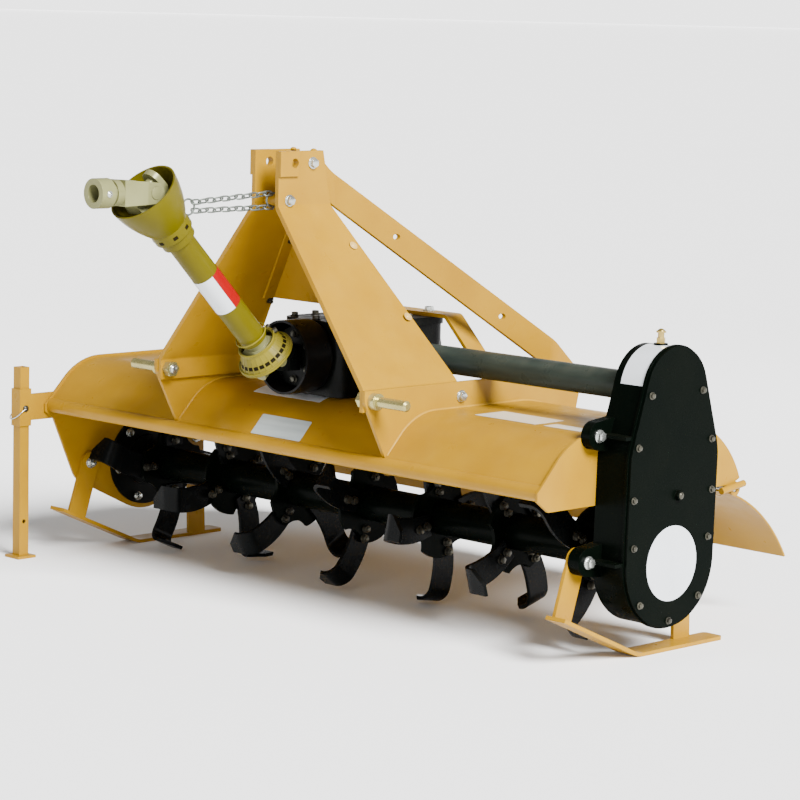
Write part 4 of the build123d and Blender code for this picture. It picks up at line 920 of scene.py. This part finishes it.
@dataclass
class Headstock:
    """Fasteners of the mast, the braces and the hitch pins."""

    head_out: float = 41.0
    head_in: float = 31.0
    side_out: float = 326.0
    side_in: float = 318.0
    leg_t: float = 10.0
    bend_drop: float = 115.0
    brace_bolt: Pair = (-223.7, 938.6)
    sleeve_bolt: Pair = (-287.4, 862.3)
    leg_bolts: tuple[Pair, ...] = ((-166.1, 769.9), (-117.4, 629.5))
    nub: Triple = (-212.0, 7.0, 5.0)
    nut_shift: float = 6.0
    leg_foot: Pair = (-59.0, 471.0)
    brace_foot: Pair = (262.0, 476.0)
    brace_t: float = 8.0
    pin_end: Pair = (291.0, -311.0)

    def on_leg(self, y: float, z: float, side: int, outer: bool) -> Place:
        """Place and direction on a slanted leg plate.

        Args:
            y: Fore and aft, in millimetres.
            z: Height in millimetres.
            side: -1 left, 1 right.
            outer: On the outer face.

        Returns:
            The spot and the outward normal.
        """
        run = (self.side_in - self.head_in) / (HEAD_TOP - self.bend_drop - SIDE_TOP)
        tall = (1.0 + run * run) ** 0.5
        lateral = self.head_in + self.leg_t / 2 + (HEAD_TOP - self.bend_drop - z) * run
        lateral += self.leg_t / 2 * tall * (1 if outer else -1)
        way = Vector((side, 0.0, run)).normalized() * (1 if outer else -1)
        return spot(side * lateral, y, z), way

    def heads(self) -> None:
        """Bolts through the two head plates, and the rounded tips of the braces above them."""
        ends = []
        for y, z in (self.brace_bolt, self.sleeve_bolt):
            ends += [(spot(self.head_out, y, z), RIGHT), (spot(-self.head_out, y, z), LEFT)]
        BoltSet("mast_head_bolts", HexBolt(across=17.0, head=7.5, washer=12.5, washer_t=2.0), ends).build()
        y, radius, rise = self.nub
        tips = [(spot(side * self.head_in, y, HEAD_TOP - 1.0), UP) for side in (-1, 1)]
        BoltSet("brace_tips", DomeBolt(radius, rise, 1.0), tips, Coats.YELLOW, slot="yellow_paint").build()

    def legs(self) -> None:
        """Domed heads outside and nuts inside the legs, where the folded plate between them is bolted."""
        domes, nuts = [], []
        for side in (-1, 1):
            for y, z in self.leg_bolts:
                domes.append(self.on_leg(y, z, side, True))
                nuts.append(self.on_leg(y + self.nut_shift, z, side, False))
        BoltSet("leg_dome_bolts", DomeBolt(8.0, 5.0, 1.4), domes, Coats.BRIGHT).build()
        nut = HexBolt(across=15.0, head=7.0, washer=11.0, washer_t=1.6, stub=5.0)
        BoltSet("leg_nuts", nut, nuts, Coats.DARK_ZINC).build()

    def feet(self) -> None:
        """Bolts that hold the legs' feet and the braces' feet to the side plates."""
        ends, nuts = [], []
        for side, way in ((-1, LEFT), (1, RIGHT)):
            for y, z in (self.leg_foot, self.brace_foot):
                ends.append((spot(side * self.side_out, y, z), way))
        BoltSet("side_plate_bolts", HexBolt(across=17.0, head=7.5, washer=13.0, washer_t=2.0), ends).build()
        for side, way in ((-1, RIGHT), (1, LEFT)):
            nuts.append((spot(side * (self.side_in - self.brace_t), *self.brace_foot), way))
        BoltSet("brace_foot_nuts", HexBolt(across=17.0, head=8.0, washer=13.0, stub=6.0), nuts).build()

    def pins(self) -> None:
        """Round end caps of the hitch pins' inner nuts."""
        x, y = self.pin_end
        caps = [(spot(side * x, y, HITCH_Z), LEFT * side) for side in (-1, 1)]
        BoltSet("hitch_pin_ends", DomeBolt(9.0, 5.0, 1.5), caps, Coats.ZINC).build()

    def build(self) -> None:
        """Builds the headstock's fasteners."""
        self.heads()
        self.legs()
        self.feet()
        self.pins()


@dataclass
class Deck:
    """Blank labels, the data plate and the weld beads of the deck."""

    slope: float = 46.7
    front_arc_r: float = 139.0
    front_arc_y: float = -134.0
    slope_run: float = 52.0
    rear_arc_r: float = 208.0
    rear_arc_y: float = 122.0
    rear_sweep: float = 50.0
    side_in: float = 318.0
    side_out: float = 326.0
    bead_r: float = 3.6
    bead_sink: float = 0.5
    strip_x: float = -62.0
    strip: Triple = (208.0, 96.0, 18.0)
    film_t: float = 0.4
    film_play: float = 0.2
    plate: Quad = (30.0, 5.0, 152.0, 52.0)
    films: dict[str, Quad] = field(
        default_factory=lambda: {
            "deck_film_left": (150.0, 46.0, -470.0, -100.0),
            "deck_film_right": (166.0, 88.0, 506.0, -76.0),
            "deck_film_small": (96.0, 40.0, 660.0, -100.0),
        }
    )

    def profile(self, along: float) -> Vector:
        """Place on the deck's top face.

        Args:
            along: Distance rearwards from the upper end of the front slope, negative down the slope.

        Returns:
            The point in the mast's centre plane.
        """
        lean = radians(self.slope)
        start_y = self.front_arc_y - self.front_arc_r * sin(lean)
        start_z = DECK_TOP - self.front_arc_r * (1.0 - cos(lean))
        front = self.front_arc_r * lean
        flat = self.rear_arc_y - self.front_arc_y
        if along < 0.0:
            return spot(0.0, start_y + along * cos(lean), start_z + along * sin(lean))
        if along < front:
            angle = lean - along / self.front_arc_r
            drop = self.front_arc_r * (1.0 - cos(angle))
            return spot(0.0, self.front_arc_y - self.front_arc_r * sin(angle), DECK_TOP - drop)
        if along < front + flat:
            return spot(0.0, self.front_arc_y + along - front, DECK_TOP)
        angle = (along - front - flat) / self.rear_arc_r
        drop = self.rear_arc_r * (1.0 - cos(angle))
        return spot(0.0, self.rear_arc_y + self.rear_arc_r * sin(angle), DECK_TOP - drop)

    def beads(self) -> None:
        """Weld beads on both sides of each side plate, where it stands on the deck."""
        length = self.front_arc_r * radians(self.slope) + self.rear_arc_y - self.front_arc_y
        length += self.rear_arc_r * radians(self.rear_sweep)
        steps = 96
        runs = []
        for x in (self.side_out, self.side_in, -self.side_in, -self.side_out):
            shift = Vector((x * MM, 0.0, -self.bead_sink * MM))
            path = [
                self.profile(-self.slope_run + (length + self.slope_run) * step / steps) + shift
                for step in range(steps + 1)
            ]
            runs.append(Bench.rod("bead", path, self.bead_r))
        finished(Bench.join(runs, "deck_weld_beads"), Coats.WELD, "frame", "yellow_paint")

    def labels(self) -> None:
        """Blank data plate on the slope and blank films on the deck's top."""
        face = Vector((0.0, -sin(radians(self.slope)), cos(radians(self.slope))))
        down, left, width, height = self.plate
        at = self.profile(-down) + LEFT * left * MM
        Sticker("front_plate_blank", width, height, at, RIGHT, face, Coats.PLATE).build()
        for name, (width, depth, x, y) in self.films.items():
            Sticker(name, width, depth, spot(x, y, DECK_TOP), RIGHT, UP, Coats.PALE_LABEL).build()
        hub = spot(self.strip_x, self.front_arc_y, DECK_TOP - self.front_arc_r)
        length, start, sweep = self.strip
        radius = self.front_arc_r + self.film_play
        made = Bench.tube_patch(hub, RIGHT, radius, length, start, sweep, self.film_t)
        finished(Bench.join([made], "deck_front_strip"), Coats.LABEL, "frame", "yellow_paint")

    def build(self) -> None:
        """Builds the labels and beads."""
        self.labels()
        self.beads()


@dataclass
class Gearbox:
    """Bolts, plugs and collars of the gearbox, its strap and the side tube."""

    half: float = 92.0
    flange: float = 14.0
    strap_t: float = 8.0
    nose_front: float = -226.0
    rear: float = 150.0
    shaft_y: float = 4.0
    lid_x: float = 82.0
    lid_ys: tuple[float, ...] = (-152.0, -92.0, -32.0, 28.0)
    lid_front: float = -166.0
    bolt_circle: float = 48.0
    tube_circle: float = 41.5
    filler: Pair = (-40.0, -60.0)
    strap_x: float = 60.0
    strap_toe_x: float = 306.0
    strap_y: float = 111.0
    collar_x: float = 748.0
    collar_r: float = 29.2
    collar_wall: float = 4.0
    collar_length: float = 8.0
    rear_seat: float = 0.5

    @staticmethod
    def ring(centre_at: Vector, way: Vector, radius: float, count: int, start: float) -> list[Place]:
        """Places spaced round a circle.

        Args:
            centre_at: The circle's centre.
            way: The direction the bolts face, across the circle.
            radius: In millimetres.
            count: Number of places.
            start: Angle of the first in degrees.

        Returns:
            The places with their direction.
        """
        turn = way.to_track_quat("Z", "Y").to_matrix()
        places = []
        for index in range(count):
            angle = radians(start + index * 360.0 / count)
            offset = turn @ Vector((cos(angle), sin(angle), 0.0))
            places.append((centre_at + offset * radius * MM, way))
        return places

    def build(self) -> None:
        """Builds the gearbox dressings."""
        lid = [(spot(side * self.lid_x, y, BOX_TOP), UP) for side in (-1, 1) for y in self.lid_ys]
        lid.append((spot(0.0, self.lid_front, BOX_TOP), UP))
        bolt = HexBolt(across=13.0, head=6.0, washer=9.0, washer_t=1.6)
        dark_set("gearbox_lid_bolts", bolt, lid)
        front = self.ring(spot(0.0, self.nose_front, INPUT_Z), FORWARD, self.bolt_circle, 6, 30.0)
        dark_set("nose_bolts", bolt, front)
        rear = self.ring(spot(0.0, self.rear - self.rear_seat, INPUT_Z), BACK, self.bolt_circle, 6, 0.0)
        dark_set("rear_cover_bolts", bolt, rear)
        sides = []
        for side, way in ((-1, LEFT), (1, RIGHT)):
            at = spot(side * (self.half + self.flange), self.shaft_y, INPUT_Z)
            sides += self.ring(at, way, self.tube_circle, 6, 15.0)
        dark_set("tube_flange_bolts", bolt, sides)
        plug = [(spot(*self.filler, BOX_TOP), UP)]
        BoltSet("filler_plug", HexBolt(22.0, 10.0, 14.0, 2.0, 6.0), plug, Coats.BRASS, slot="zinc").build()
        strap = [(spot(side * self.strap_x, self.strap_y, BOX_TOP + self.strap_t), UP) for side in (-1, 1)]
        BoltSet("strap_bolts", HexBolt(17.0, 7.5, 13.0, 2.0), strap).build()
        toe_z = DECK_TOP + self.strap_t
        feet = [(spot(side * self.strap_toe_x, self.strap_y, toe_z), UP) for side in (-1, 1)]
        BoltSet("strap_foot_bolts", HexBolt(13.0, 6.0, 8.5, 1.6), feet).build()
        self.collar("inner_tube_collar", self.half + self.flange)
        self.collar("outer_tube_collar", self.collar_x)

    def collar(self, name: str, x: float) -> None:
        """Short welded collar round the side tube.

        Args:
            name: The piece's name.
            x: Its inner face, in millimetres from the mast.
        """
        at = spot(x, self.shaft_y, INPUT_Z)
        Bench.cylinder(self.collar_r + self.collar_wall, self.collar_length, 64)
        Bench.break_rim(1.2, 0.8, self.collar_length / 2)
        made = Bench.done()
        made.matrix_world = Bench.stood(at, RIGHT)
        finished(Bench.join([made], name), Coats.SLATE, "frame", "slate_tube")


@dataclass
class ChainCase:
    """Fasteners, blank labels and breather of the chain case."""

    lug_face: float = 784.0
    lug_inner: float = 748.0
    cover_face: float = 850.0
    lugs: tuple[Pair, ...] = ((-148.0, 253.0), (-168.0, 7.0), (150.0, 40.0))
    rim_bolts: tuple[Pair, ...] = (
        (-73.0, 333.0), (81.0, 333.0), (-107.0, 234.0), (113.0, 234.0), (-116.0, 132.0), (119.0, 132.0),
        (-112.0, 38.0), (112.0, 38.0), (-88.0, -77.0), (88.0, -78.0), (0.0, -118.0),
    )
    shaft_y: float = 4.0
    plug: Triple = (8.0, 17.0, 130.0)
    field_z: float = -4.0
    field_r: float = 75.0
    field_t: float = 0.6
    top_r: float = 89.2
    rim_film: Quad = (43.0, 56.0, 92.0, 86.0)
    film_t: float = 0.4
    breather: Pair = (803.0, 646.0)

    def bolts(self) -> None:
        """Bolts of the cover and the lugs, with the nuts behind them."""
        rims = [(spot(self.cover_face, y, ROTOR_Z + z), RIGHT) for y, z in self.rim_bolts]
        dark_set("cover_bolts", HexBolt(10.0, 4.5, 7.5, 1.4), rims)
        lugs = [(spot(self.lug_face, y, ROTOR_Z + z), RIGHT) for y, z in self.lugs]
        BoltSet("lug_bolts", HexBolt(17.0, 8.0, 13.0, 3.0), lugs).build()
        nuts = [(spot(self.lug_inner, y, ROTOR_Z + z), LEFT) for y, z in self.lugs[1:]]
        BoltSet("lug_nuts", HexBolt(17.0, 9.0, 13.0, 2.4, 6.0), nuts).build()
        boss, y, z = self.plug
        plug = [(spot(self.cover_face + boss, y, ROTOR_Z + z), RIGHT)]
        dark_set("level_plug", DomeBolt(6.0, 3.0, 1.0), plug)
        x, z = self.breather
        cap = [(spot(x, self.shaft_y, z - 1.0), UP)]
        BoltSet("breather_cap", DomeBolt(8.5, 8.0, 3.0), cap, Coats.BRASS).build()

    def field(self) -> None:
        """Blank round field low on the cover, with a thin raised rim."""
        Bench.cylinder(self.field_r, self.field_t, 72)
        Bench.break_rim(3.0, -0.2, self.field_t / 2)
        made = Bench.done()
        at = spot(self.cover_face, self.shaft_y, ROTOR_Z + self.field_z)
        made.matrix_world = Bench.stood(at, RIGHT)
        finished(Bench.join([made], "round_blank_field"), Coats.LABEL, "frame", "black_casting")

    def rim_label(self) -> None:
        """Blank pale film bent over the case's front upper rim."""
        inset, width, start, sweep = self.rim_film
        at = spot(self.cover_face - inset, self.shaft_y, INPUT_Z)
        made = Bench.tube_patch(at, RIGHT, self.top_r, width, start, sweep, self.film_t)
        finished(Bench.join([made], "case_rim_label"), Coats.LABEL, "frame", "black_casting")

    def build(self) -> None:
        """Builds the dressings of the case."""
        self.bolts()
        self.field()
        self.rim_label()


@dataclass
class Rotor:
    """Tine bolts and the bolts of the left bearing flange."""

    pitch: float = 220.0
    flanges: int = 7
    flange_t: float = 8.0
    tine_t: float = 8.0
    step: float = 26.0
    bolt_radii: Pair = (57.0, 78.0)
    bearing_in: float = 744.0
    bearing_r: float = 89.0
    plate_out: float = 762.0

    def build(self) -> None:
        """Builds the bolts."""
        heads, nuts = [], []
        for index in range(self.flanges):
            x = (index - (self.flanges - 1) / 2) * self.pitch
            for side, first in ((1, 0.0), (-1, 90.0)):
                for half in (0.0, 180.0):
                    turn = radians(first + half + index * self.step)
                    for radius in self.bolt_radii:
                        y, z = -sin(turn) * radius, ROTOR_Z + cos(turn) * radius
                        out = side * (self.flange_t / 2 + self.tine_t)
                        heads.append((spot(x + out, y, z), RIGHT * side))
                        nuts.append((spot(x - side * self.flange_t / 2, y, z), LEFT * side))
        bolt = HexBolt(across=15.0, head=6.5, washer=9.4, washer_t=1.6)
        BoltSet("tine_bolts", bolt, heads, Coats.DARK_ZINC, "rotor", "black_steel").build()
        nut = HexBolt(across=15.0, head=7.0, washer=9.4, washer_t=1.6, stub=3.5)
        BoltSet("tine_nuts", nut, nuts, Coats.DARK_ZINC, "rotor", "black_steel").build()
        ring = Gearbox.ring(spot(-self.bearing_in, 0.0, ROTOR_Z), RIGHT, self.bearing_r, 6, 10.0)
        BoltSet("bearing_bolts", HexBolt(15.0, 6.5, 10.5, 1.8), ring).build()
        back = Gearbox.ring(spot(-self.plate_out, 0.0, ROTOR_Z), LEFT, self.bearing_r, 6, -10.0)
        BoltSet("bearing_nuts", HexBolt(15.0, 7.0, 10.5, 1.8, 4.0), back).build()


@dataclass
class Undercarriage:
    """Bolts of the left skid and the wire of the parking stand's pin."""

    plate_out: float = 762.0
    skid_in: float = 748.0
    bolts: tuple[Pair, ...] = ((-168.0, 7.0), (150.0, 40.0))
    sleeve: Triple = (-777.9, -346.0, 343.0)
    sleeve_half: float = 15.9

    def build(self) -> None:
        """Builds the bolts and the wire."""
        heads = [(spot(-self.plate_out, y, ROTOR_Z + z), LEFT) for y, z in self.bolts]
        BoltSet("left_skid_bolts", HexBolt(17.0, 7.5, 13.0, 2.0), heads).build()
        nuts = [(spot(-self.skid_in, y, ROTOR_Z + z), RIGHT) for y, z in self.bolts]
        BoltSet("left_skid_nuts", HexBolt(17.0, 8.5, 13.0, 2.0, 6.0), nuts).build()
        x, y, z = self.sleeve
        out = self.sleeve_half
        knob = [(spot(x + out, y, z), RIGHT)]
        BoltSet("stand_pin_head", DomeBolt(6.5, 4.5, 2.0), knob, Coats.DARK_ZINC).build()
        path = [
            spot(x + out + 5.0, y - 2.0, z), spot(x + out + 5.0, y - out - 1.0, z - 8.0),
            spot(x + out - 2.0, y - out - 3.0, z - 15.0), spot(x, y - out - 3.5, z - 22.0),
            spot(x - out + 2.0, y - out - 3.0, z - 26.0), spot(x - out - 5.0, y - out - 1.0, z - 22.0),
            spot(x - out - 7.0, y - 6.0, z - 10.0), spot(x - out - 8.0, y, z),
        ]
        loop = Bench.wire("stand_pin_wire", path, 1.3)
        finished(loop, Coats.ZINC, "frame", "zinc")


@dataclass
class Driveline:
    """Blank tube label, clips, slot pads of painted shade, yoke fittings and the round-wire holding chain.
    """

    tilt: float = 46.0
    inner_y: float = -300.0
    span: float = 494.0
    tube_r: float = 29.15
    label: Pair = (212.0, 92.0)
    film_t: float = 0.4
    bell: Quad = (8.0, 15.0, 43.0, 50.0)
    bell_r: Triple = (62.0, 58.0, 42.0)
    ribs: int = 24
    rib_slot: Quad = (7.5, 10.0, 0.8, 1.2)
    slot_level: float = 0.34
    neck_slots: int = 8
    neck_turn: float = 12.0
    neck_sink: float = 0.4
    clip: Pair = (6.0, 9.0)
    clip_turns: Pair = (62.0, 96.0)
    clip_sink: float = 1.0
    cone_neck: Pair = (389.0, 43.0)
    ring_r: float = 14.0
    wire: float = 4.2
    link_wire: float = 3.612
    link_width: float = 15.5
    link_play: float = 1.2
    link_lean: float = 45.0
    seat: float = 0.3
    hook_back: float = 106.0
    sleeve_y: float = -283.0
    sleeve_r: float = 14.4
    bow_reach: float = 16.0
    link_pitch: float = 20.0
    spread: float = 38.0
    ear: float = 42.0
    lock_pin: Pair = (30.0, -108.0)

    def __post_init__(self) -> None:
        """Works out the shaft's direction and the direction across it."""
        lean = radians(self.tilt)
        self.way = Vector((0.0, -cos(lean), sin(lean)))
        self.across = Vector((0.0, sin(lean), cos(lean)))

    def outward(self, angle: float) -> Vector:
        """Direction square to the shaft, in degrees from the machine's right towards the upper rear."""
        return RIGHT * cos(radians(angle)) + self.across * sin(radians(angle))

    def on(self, along: float, radius: float = 0.0, angle: float = 0.0) -> Vector:
        """Point by its distance along the shaft and its place round it.

        Args:
            along: From the inner joint, in millimetres.
            radius: From the shaft's axis, in millimetres.
            angle: In degrees from the machine's right, towards the upper rear.

        Returns:
            The point.
        """
        return spot(0.0, self.inner_y, INPUT_Z) + self.way * along * MM + self.outward(angle) * radius * MM

    def labels(self) -> None:
        """Blank film round the guard tube: pale below, red above."""
        along, length = self.label
        for name, start, sweep, finish in (
            ("tube_label_pale", -128.0, 118.0, Coats.LABEL), ("tube_label_red", -10.0, 92.0, Coats.RED_LABEL)
        ):
            made = Bench.tube_patch(
                self.on(along), self.way, self.tube_r, length, start, sweep, self.film_t
            )
            finished(Bench.join([made], name), finish, "frame", "guard_plastic")

    def slots(self) -> None:
        """Dark pads of painted shade for the slots between the bell's ribs and round the cone's neck, and
        the bell's two clips.
        """
        _, rim, neck, collar = self.bell
        _, foot, top = self.bell_r
        slope = Vector((neck - rim, foot - top)).normalized()
        middle, radius = rim + (neck - rim) * self.slot_level, foot - (foot - top) * self.slot_level
        pads = []
        proto = Bench.plate(*self.rib_slot)
        for index in range(self.ribs):
            angle = (index + 0.5) * 360.0 / self.ribs
            out = self.outward(angle)
            face = (out * slope.x + self.way * slope.y).normalized()
            pads.append(Bench.lay(proto, self.on(middle, radius, angle), face, self.way))
        along, neck_r = self.cone_neck
        for index in range(self.neck_slots):
            angle = self.neck_turn + index * 360.0 / self.neck_slots
            out = self.outward(angle)
            pads.append(Bench.lay(proto, self.on(along, neck_r - self.neck_sink, angle), out, self.way))
        bpy.data.objects.remove(proto)
        # Painted shade: dark pads where the slots and the grooves between the bell's ribs lie in shade.
        finished(Bench.join(pads, "guard_slot_shade_pads"), Coats.SLOT, "frame", "guard_plastic")
        clips = []
        clip_r, clip_h = self.clip
        for angle in self.clip_turns:
            Bench.cylinder(clip_r, clip_h, 12)
            Bench.break_rim(1.6, 1.0, clip_h / 2)
            clip = Bench.done()
            out = self.outward(angle)
            at = self.on((neck + collar) / 2, top - self.clip_sink, angle)
            clips.append(Bench.lay(clip, at, out, self.way))
            bpy.data.objects.remove(clip)
        finished(Bench.join(clips, "bell_clips"), Coats.DARK_ZINC, "frame", "guard_plastic")

    def rims(self) -> None:
        """Rolled beads round the bell's rim and collar and the cone's mouth."""
        start, rim, _, collar = self.bell
        rings = []
        for along, radius, wire in (
            (start + 1.8, self.bell_r[0] - 0.6, 3.2), (rim - 0.4, self.bell_r[0] - 1.0, 3.0),
            (collar, self.bell_r[2] - 0.2, 3.0), (collar + 23.0, 34.6, 2.6),
        ):
            ring = Bench.hoop(radius, wire, 72)
            Bench.open_up()
            bpy.ops.transform.resize(value=(1.0, 1.0, 1.25))
            Bench.done(60.0)
            ring.matrix_world = Bench.stood(self.on(along), self.way)
            rings.append(ring)
        finished(Bench.join(rings, "bell_beads"), Coats.BELL, "frame", "guard_plastic")

    def fittings(self) -> None:
        """Caps of the joint crosses and the yoke's lock pin."""
        outer = self.on(self.span)
        inner = self.on(0.0)
        caps = []
        for joint in (outer, inner):
            for side in (-1, 1):
                caps.append((joint + RIGHT * side * self.ear * MM, RIGHT * side))
        BoltSet("cross_caps", DomeBolt(11.0, 2.6, 1.2), caps, Coats.JOINT, slot="joint_steel").build()
        x, y = self.lock_pin
        lock = [(outer + Vector((x, y, 0.0)) * MM, RIGHT)]
        head = DomeBolt(5.6, 4.0, 1.0)
        BoltSet("yoke_lock_pin", head, lock, Coats.ZINC, "pto_yoke", "joint_steel").build()

    def chain(self) -> None:
        """Round-wire chain from the cone's ring to the spacer sleeve."""
        sleeve = spot(0.0, self.sleeve_y, SLEEVE_Z)
        out = self.cone_neck[1] + self.seat + self.ring_r + self.wire
        hook = self.on(self.span - self.hook_back, out, 90.0)
        way = (hook - sleeve).normalized()
        side_way = RIGHT.cross(way)
        links = []
        ring = Bench.hoop(self.ring_r + self.wire / 2, self.wire, 28)
        links.append(Bench.lay(ring, hook, RIGHT, way))
        bpy.data.objects.remove(ring)
        width = 2 * self.sleeve_r + self.wire
        bow = Bench.oval(width + self.bow_reach, width, self.wire)
        links.append(Bench.lay(bow, sleeve + way * self.bow_reach / 2 * MM, RIGHT, way))
        bpy.data.objects.remove(bow)
        spread = radians(self.spread)
        for side in (-1, 1):
            start = sleeve + way * self.bow_reach * MM + side_way * side * self.sleeve_r * MM
            reach = side_way * side * sin(spread) - way * cos(spread)
            end = hook + reach * self.ring_r * MM
            run = end - start
            count = round(run.length / (self.link_pitch * MM))
            pitch = run.length / count
            length = pitch / MM + self.link_play + 2 * self.link_wire
            link = Bench.oval(length, self.link_width, self.link_wire)
            for index in range(count):
                middle = start + run * ((index + 0.5) / count)
                lean = radians(self.link_lean if index % 2 else -self.link_lean)
                along = run.normalized()
                face = RIGHT * cos(lean) + RIGHT.cross(along) * sin(lean)
                links.append(Bench.lay(link, middle, face, along))
            bpy.data.objects.remove(link)
        finished(Bench.join(links, "wire_chain"), Coats.CHAIN, "frame", "zinc", "holding_chain")

    def build(self) -> None:
        """Builds the driveline's dressings."""
        self.labels()
        self.slots()
        self.rims()
        self.fittings()
        self.chain()


@dataclass
class Tailgate:
    """Washers of the eyes that the gate hangs by."""

    hinge: Pair = (306.0, 300.0)
    knuckles: tuple[float, ...] = (-600.0, -200.0, 200.0, 600.0)
    knuckle_half: float = 30.0
    washer: Pair = (11.5, 2.0)

    def build(self) -> None:
        """Builds a washer at each end of every eye."""
        y, z = self.hinge
        ends = []
        for x in self.knuckles:
            for side in (-1, 1):
                ends.append((spot(x + side * self.knuckle_half, y, z), RIGHT * side))
        radius, thick = self.washer
        Bench.cylinder(radius, thick, 28)
        Bench.break_rim(0.8, 0.5, thick / 2)
        proto = Bench.done()
        rings = [Bench.copy(proto, at, way) for at, way in ends]
        bpy.data.objects.remove(proto)
        finished(Bench.join(rings, "gate_eye_washers"), Coats.YELLOW, "tailgate", "yellow_paint")


@dataclass
class Studio:
    """Floor, soft lights and the camera."""

    eye: Triple = (4.43689, -4.32714, 1.25749)
    yaw: float = 45.138
    pitch: float = 7.666
    roll: float = 1.386
    lens: float = 130.56
    floor_r: float = 400.0
    wall_h: float = 40.0
    wall_glow: float = 3.1
    sky: float = 0.30
    sun: Triple = (0.79, -0.14, 0.60)
    sun_power: float = 15.0
    sun_angle: float = 28.0
    lights: dict[str, tuple[Triple, float, float]] = field(
        default_factory=lambda: {
            "front_light": ((2.6, -4.2, 2.2), 2.4, 40.0),
            "rear_light": ((-1.6, 3.8, 2.8), 2.6, 30.0),
        }
    )

    def camera(self) -> None:
        """Stands the camera where the machine is looked at from."""
        yaw, pitch, roll = (radians(angle) for angle in (self.yaw, self.pitch, self.roll))
        ahead = Vector((-sin(yaw) * cos(pitch), cos(yaw) * cos(pitch), -sin(pitch)))
        right = Vector((cos(yaw), sin(yaw), 0.0))
        up = right.cross(ahead)
        right, up = right * cos(roll) + up * sin(roll), up * cos(roll) - right * sin(roll)
        turn = Matrix((right, up, -ahead)).transposed().to_4x4()
        stand = Vector((MID_X + self.eye[0], AXIS_Y + self.eye[1], self.eye[2]))
        bpy.ops.object.camera_add()
        camera = bpy.context.object
        camera.name = "studio_camera"
        camera.data.lens = self.lens
        camera.data.sensor_width = 36.0
        camera.data.clip_end = 2000.0
        camera.matrix_world = Matrix.Translation(stand) @ turn
        bpy.context.scene.camera = camera

    def light(self) -> None:
        """Hangs the soft lights, each turned to the machine."""
        aim = Vector((MID_X, AXIS_Y, 0.35))
        for name, (at, size, power) in self.lights.items():
            bpy.ops.object.light_add(type="AREA", location=at)
            lamp = bpy.context.object
            lamp.name = name
            lamp.data.shape = "DISK"
            lamp.data.size = size
            lamp.data.energy = power
            lamp.rotation_euler = (aim - Vector(at)).to_track_quat("-Z", "Y").to_euler()
        bpy.ops.object.light_add(type="SUN", location=aim + Vector(self.sun) * 6.0)
        sun = bpy.context.object
        sun.name = "window_light"
        sun.data.energy = self.sun_power
        sun.data.angle = radians(self.sun_angle)
        sun.rotation_euler = (-Vector(self.sun)).to_track_quat("-Z", "Y").to_euler()
        world = bpy.data.worlds.new("studio_world")
        world.use_nodes = True
        sky = world.node_tree.nodes["Background"]
        sky.inputs[0].default_value = (1.0, 1.0, 1.0, 1.0)
        sky.inputs[1].default_value = self.sky
        bpy.context.scene.world = world

    def floor(self) -> None:
        """Lays the plain pale floor, with a far pale wall all round it."""
        Bench.clear()
        bpy.ops.mesh.primitive_circle_add(
            vertices=96, radius=self.floor_r, fill_type="NGON", location=(MID_X, AXIS_Y, 0.0)
        )
        floor = bpy.context.object
        floor.name = "studio_floor"
        graph = Graph("studio_floor_paint")
        tone = graph.blend(graph.noise(0.6, 2.0), linear(252, 252, 252), linear(249, 249, 249))
        floor.data.materials.append(graph.surface({"Base Color": tone, "Roughness": 0.9}))
        Bench.clear()
        bpy.ops.mesh.primitive_circle_add(vertices=96, radius=self.floor_r, location=(MID_X, AXIS_Y, -0.5))
        wall = bpy.context.object
        wall.name = "studio_wall"
        Bench.open_up()
        bpy.ops.mesh.extrude_edges_move(TRANSFORM_OT_translate={"value": (0.0, 0.0, self.wall_h)})
        bpy.ops.object.mode_set(mode="OBJECT")
        graph = Graph("studio_wall_paint")
        tone = graph.blend(graph.noise(0.02, 2.0), linear(254, 254, 254), linear(252, 252, 252))
        matt = {"Base Color": linear(4, 4, 4), "Roughness": 1.0, "Specular IOR Level": 0.0}
        glow = {"Emission Color": tone, "Emission Strength": self.wall_glow}
        wall.data.materials.append(graph.surface(matt | glow))

    def build(self) -> None:
        """Sets the whole studio."""
        self.floor()
        self.light()
        self.camera()


def main() -> None:
    """Builds the studio, the finishes and every sub-assembly in order."""
    logging.basicConfig(level=logging.INFO, format="%(name)s: %(message)s")
    Studio().build()
    dress_nodes()
    for assembly in (Headstock, Deck, Gearbox, ChainCase, Rotor, Undercarriage, Driveline, Tailgate):
        assembly().build()
        LOG.info("%s done", assembly.__name__)


if __name__ == "__main__":
    main()
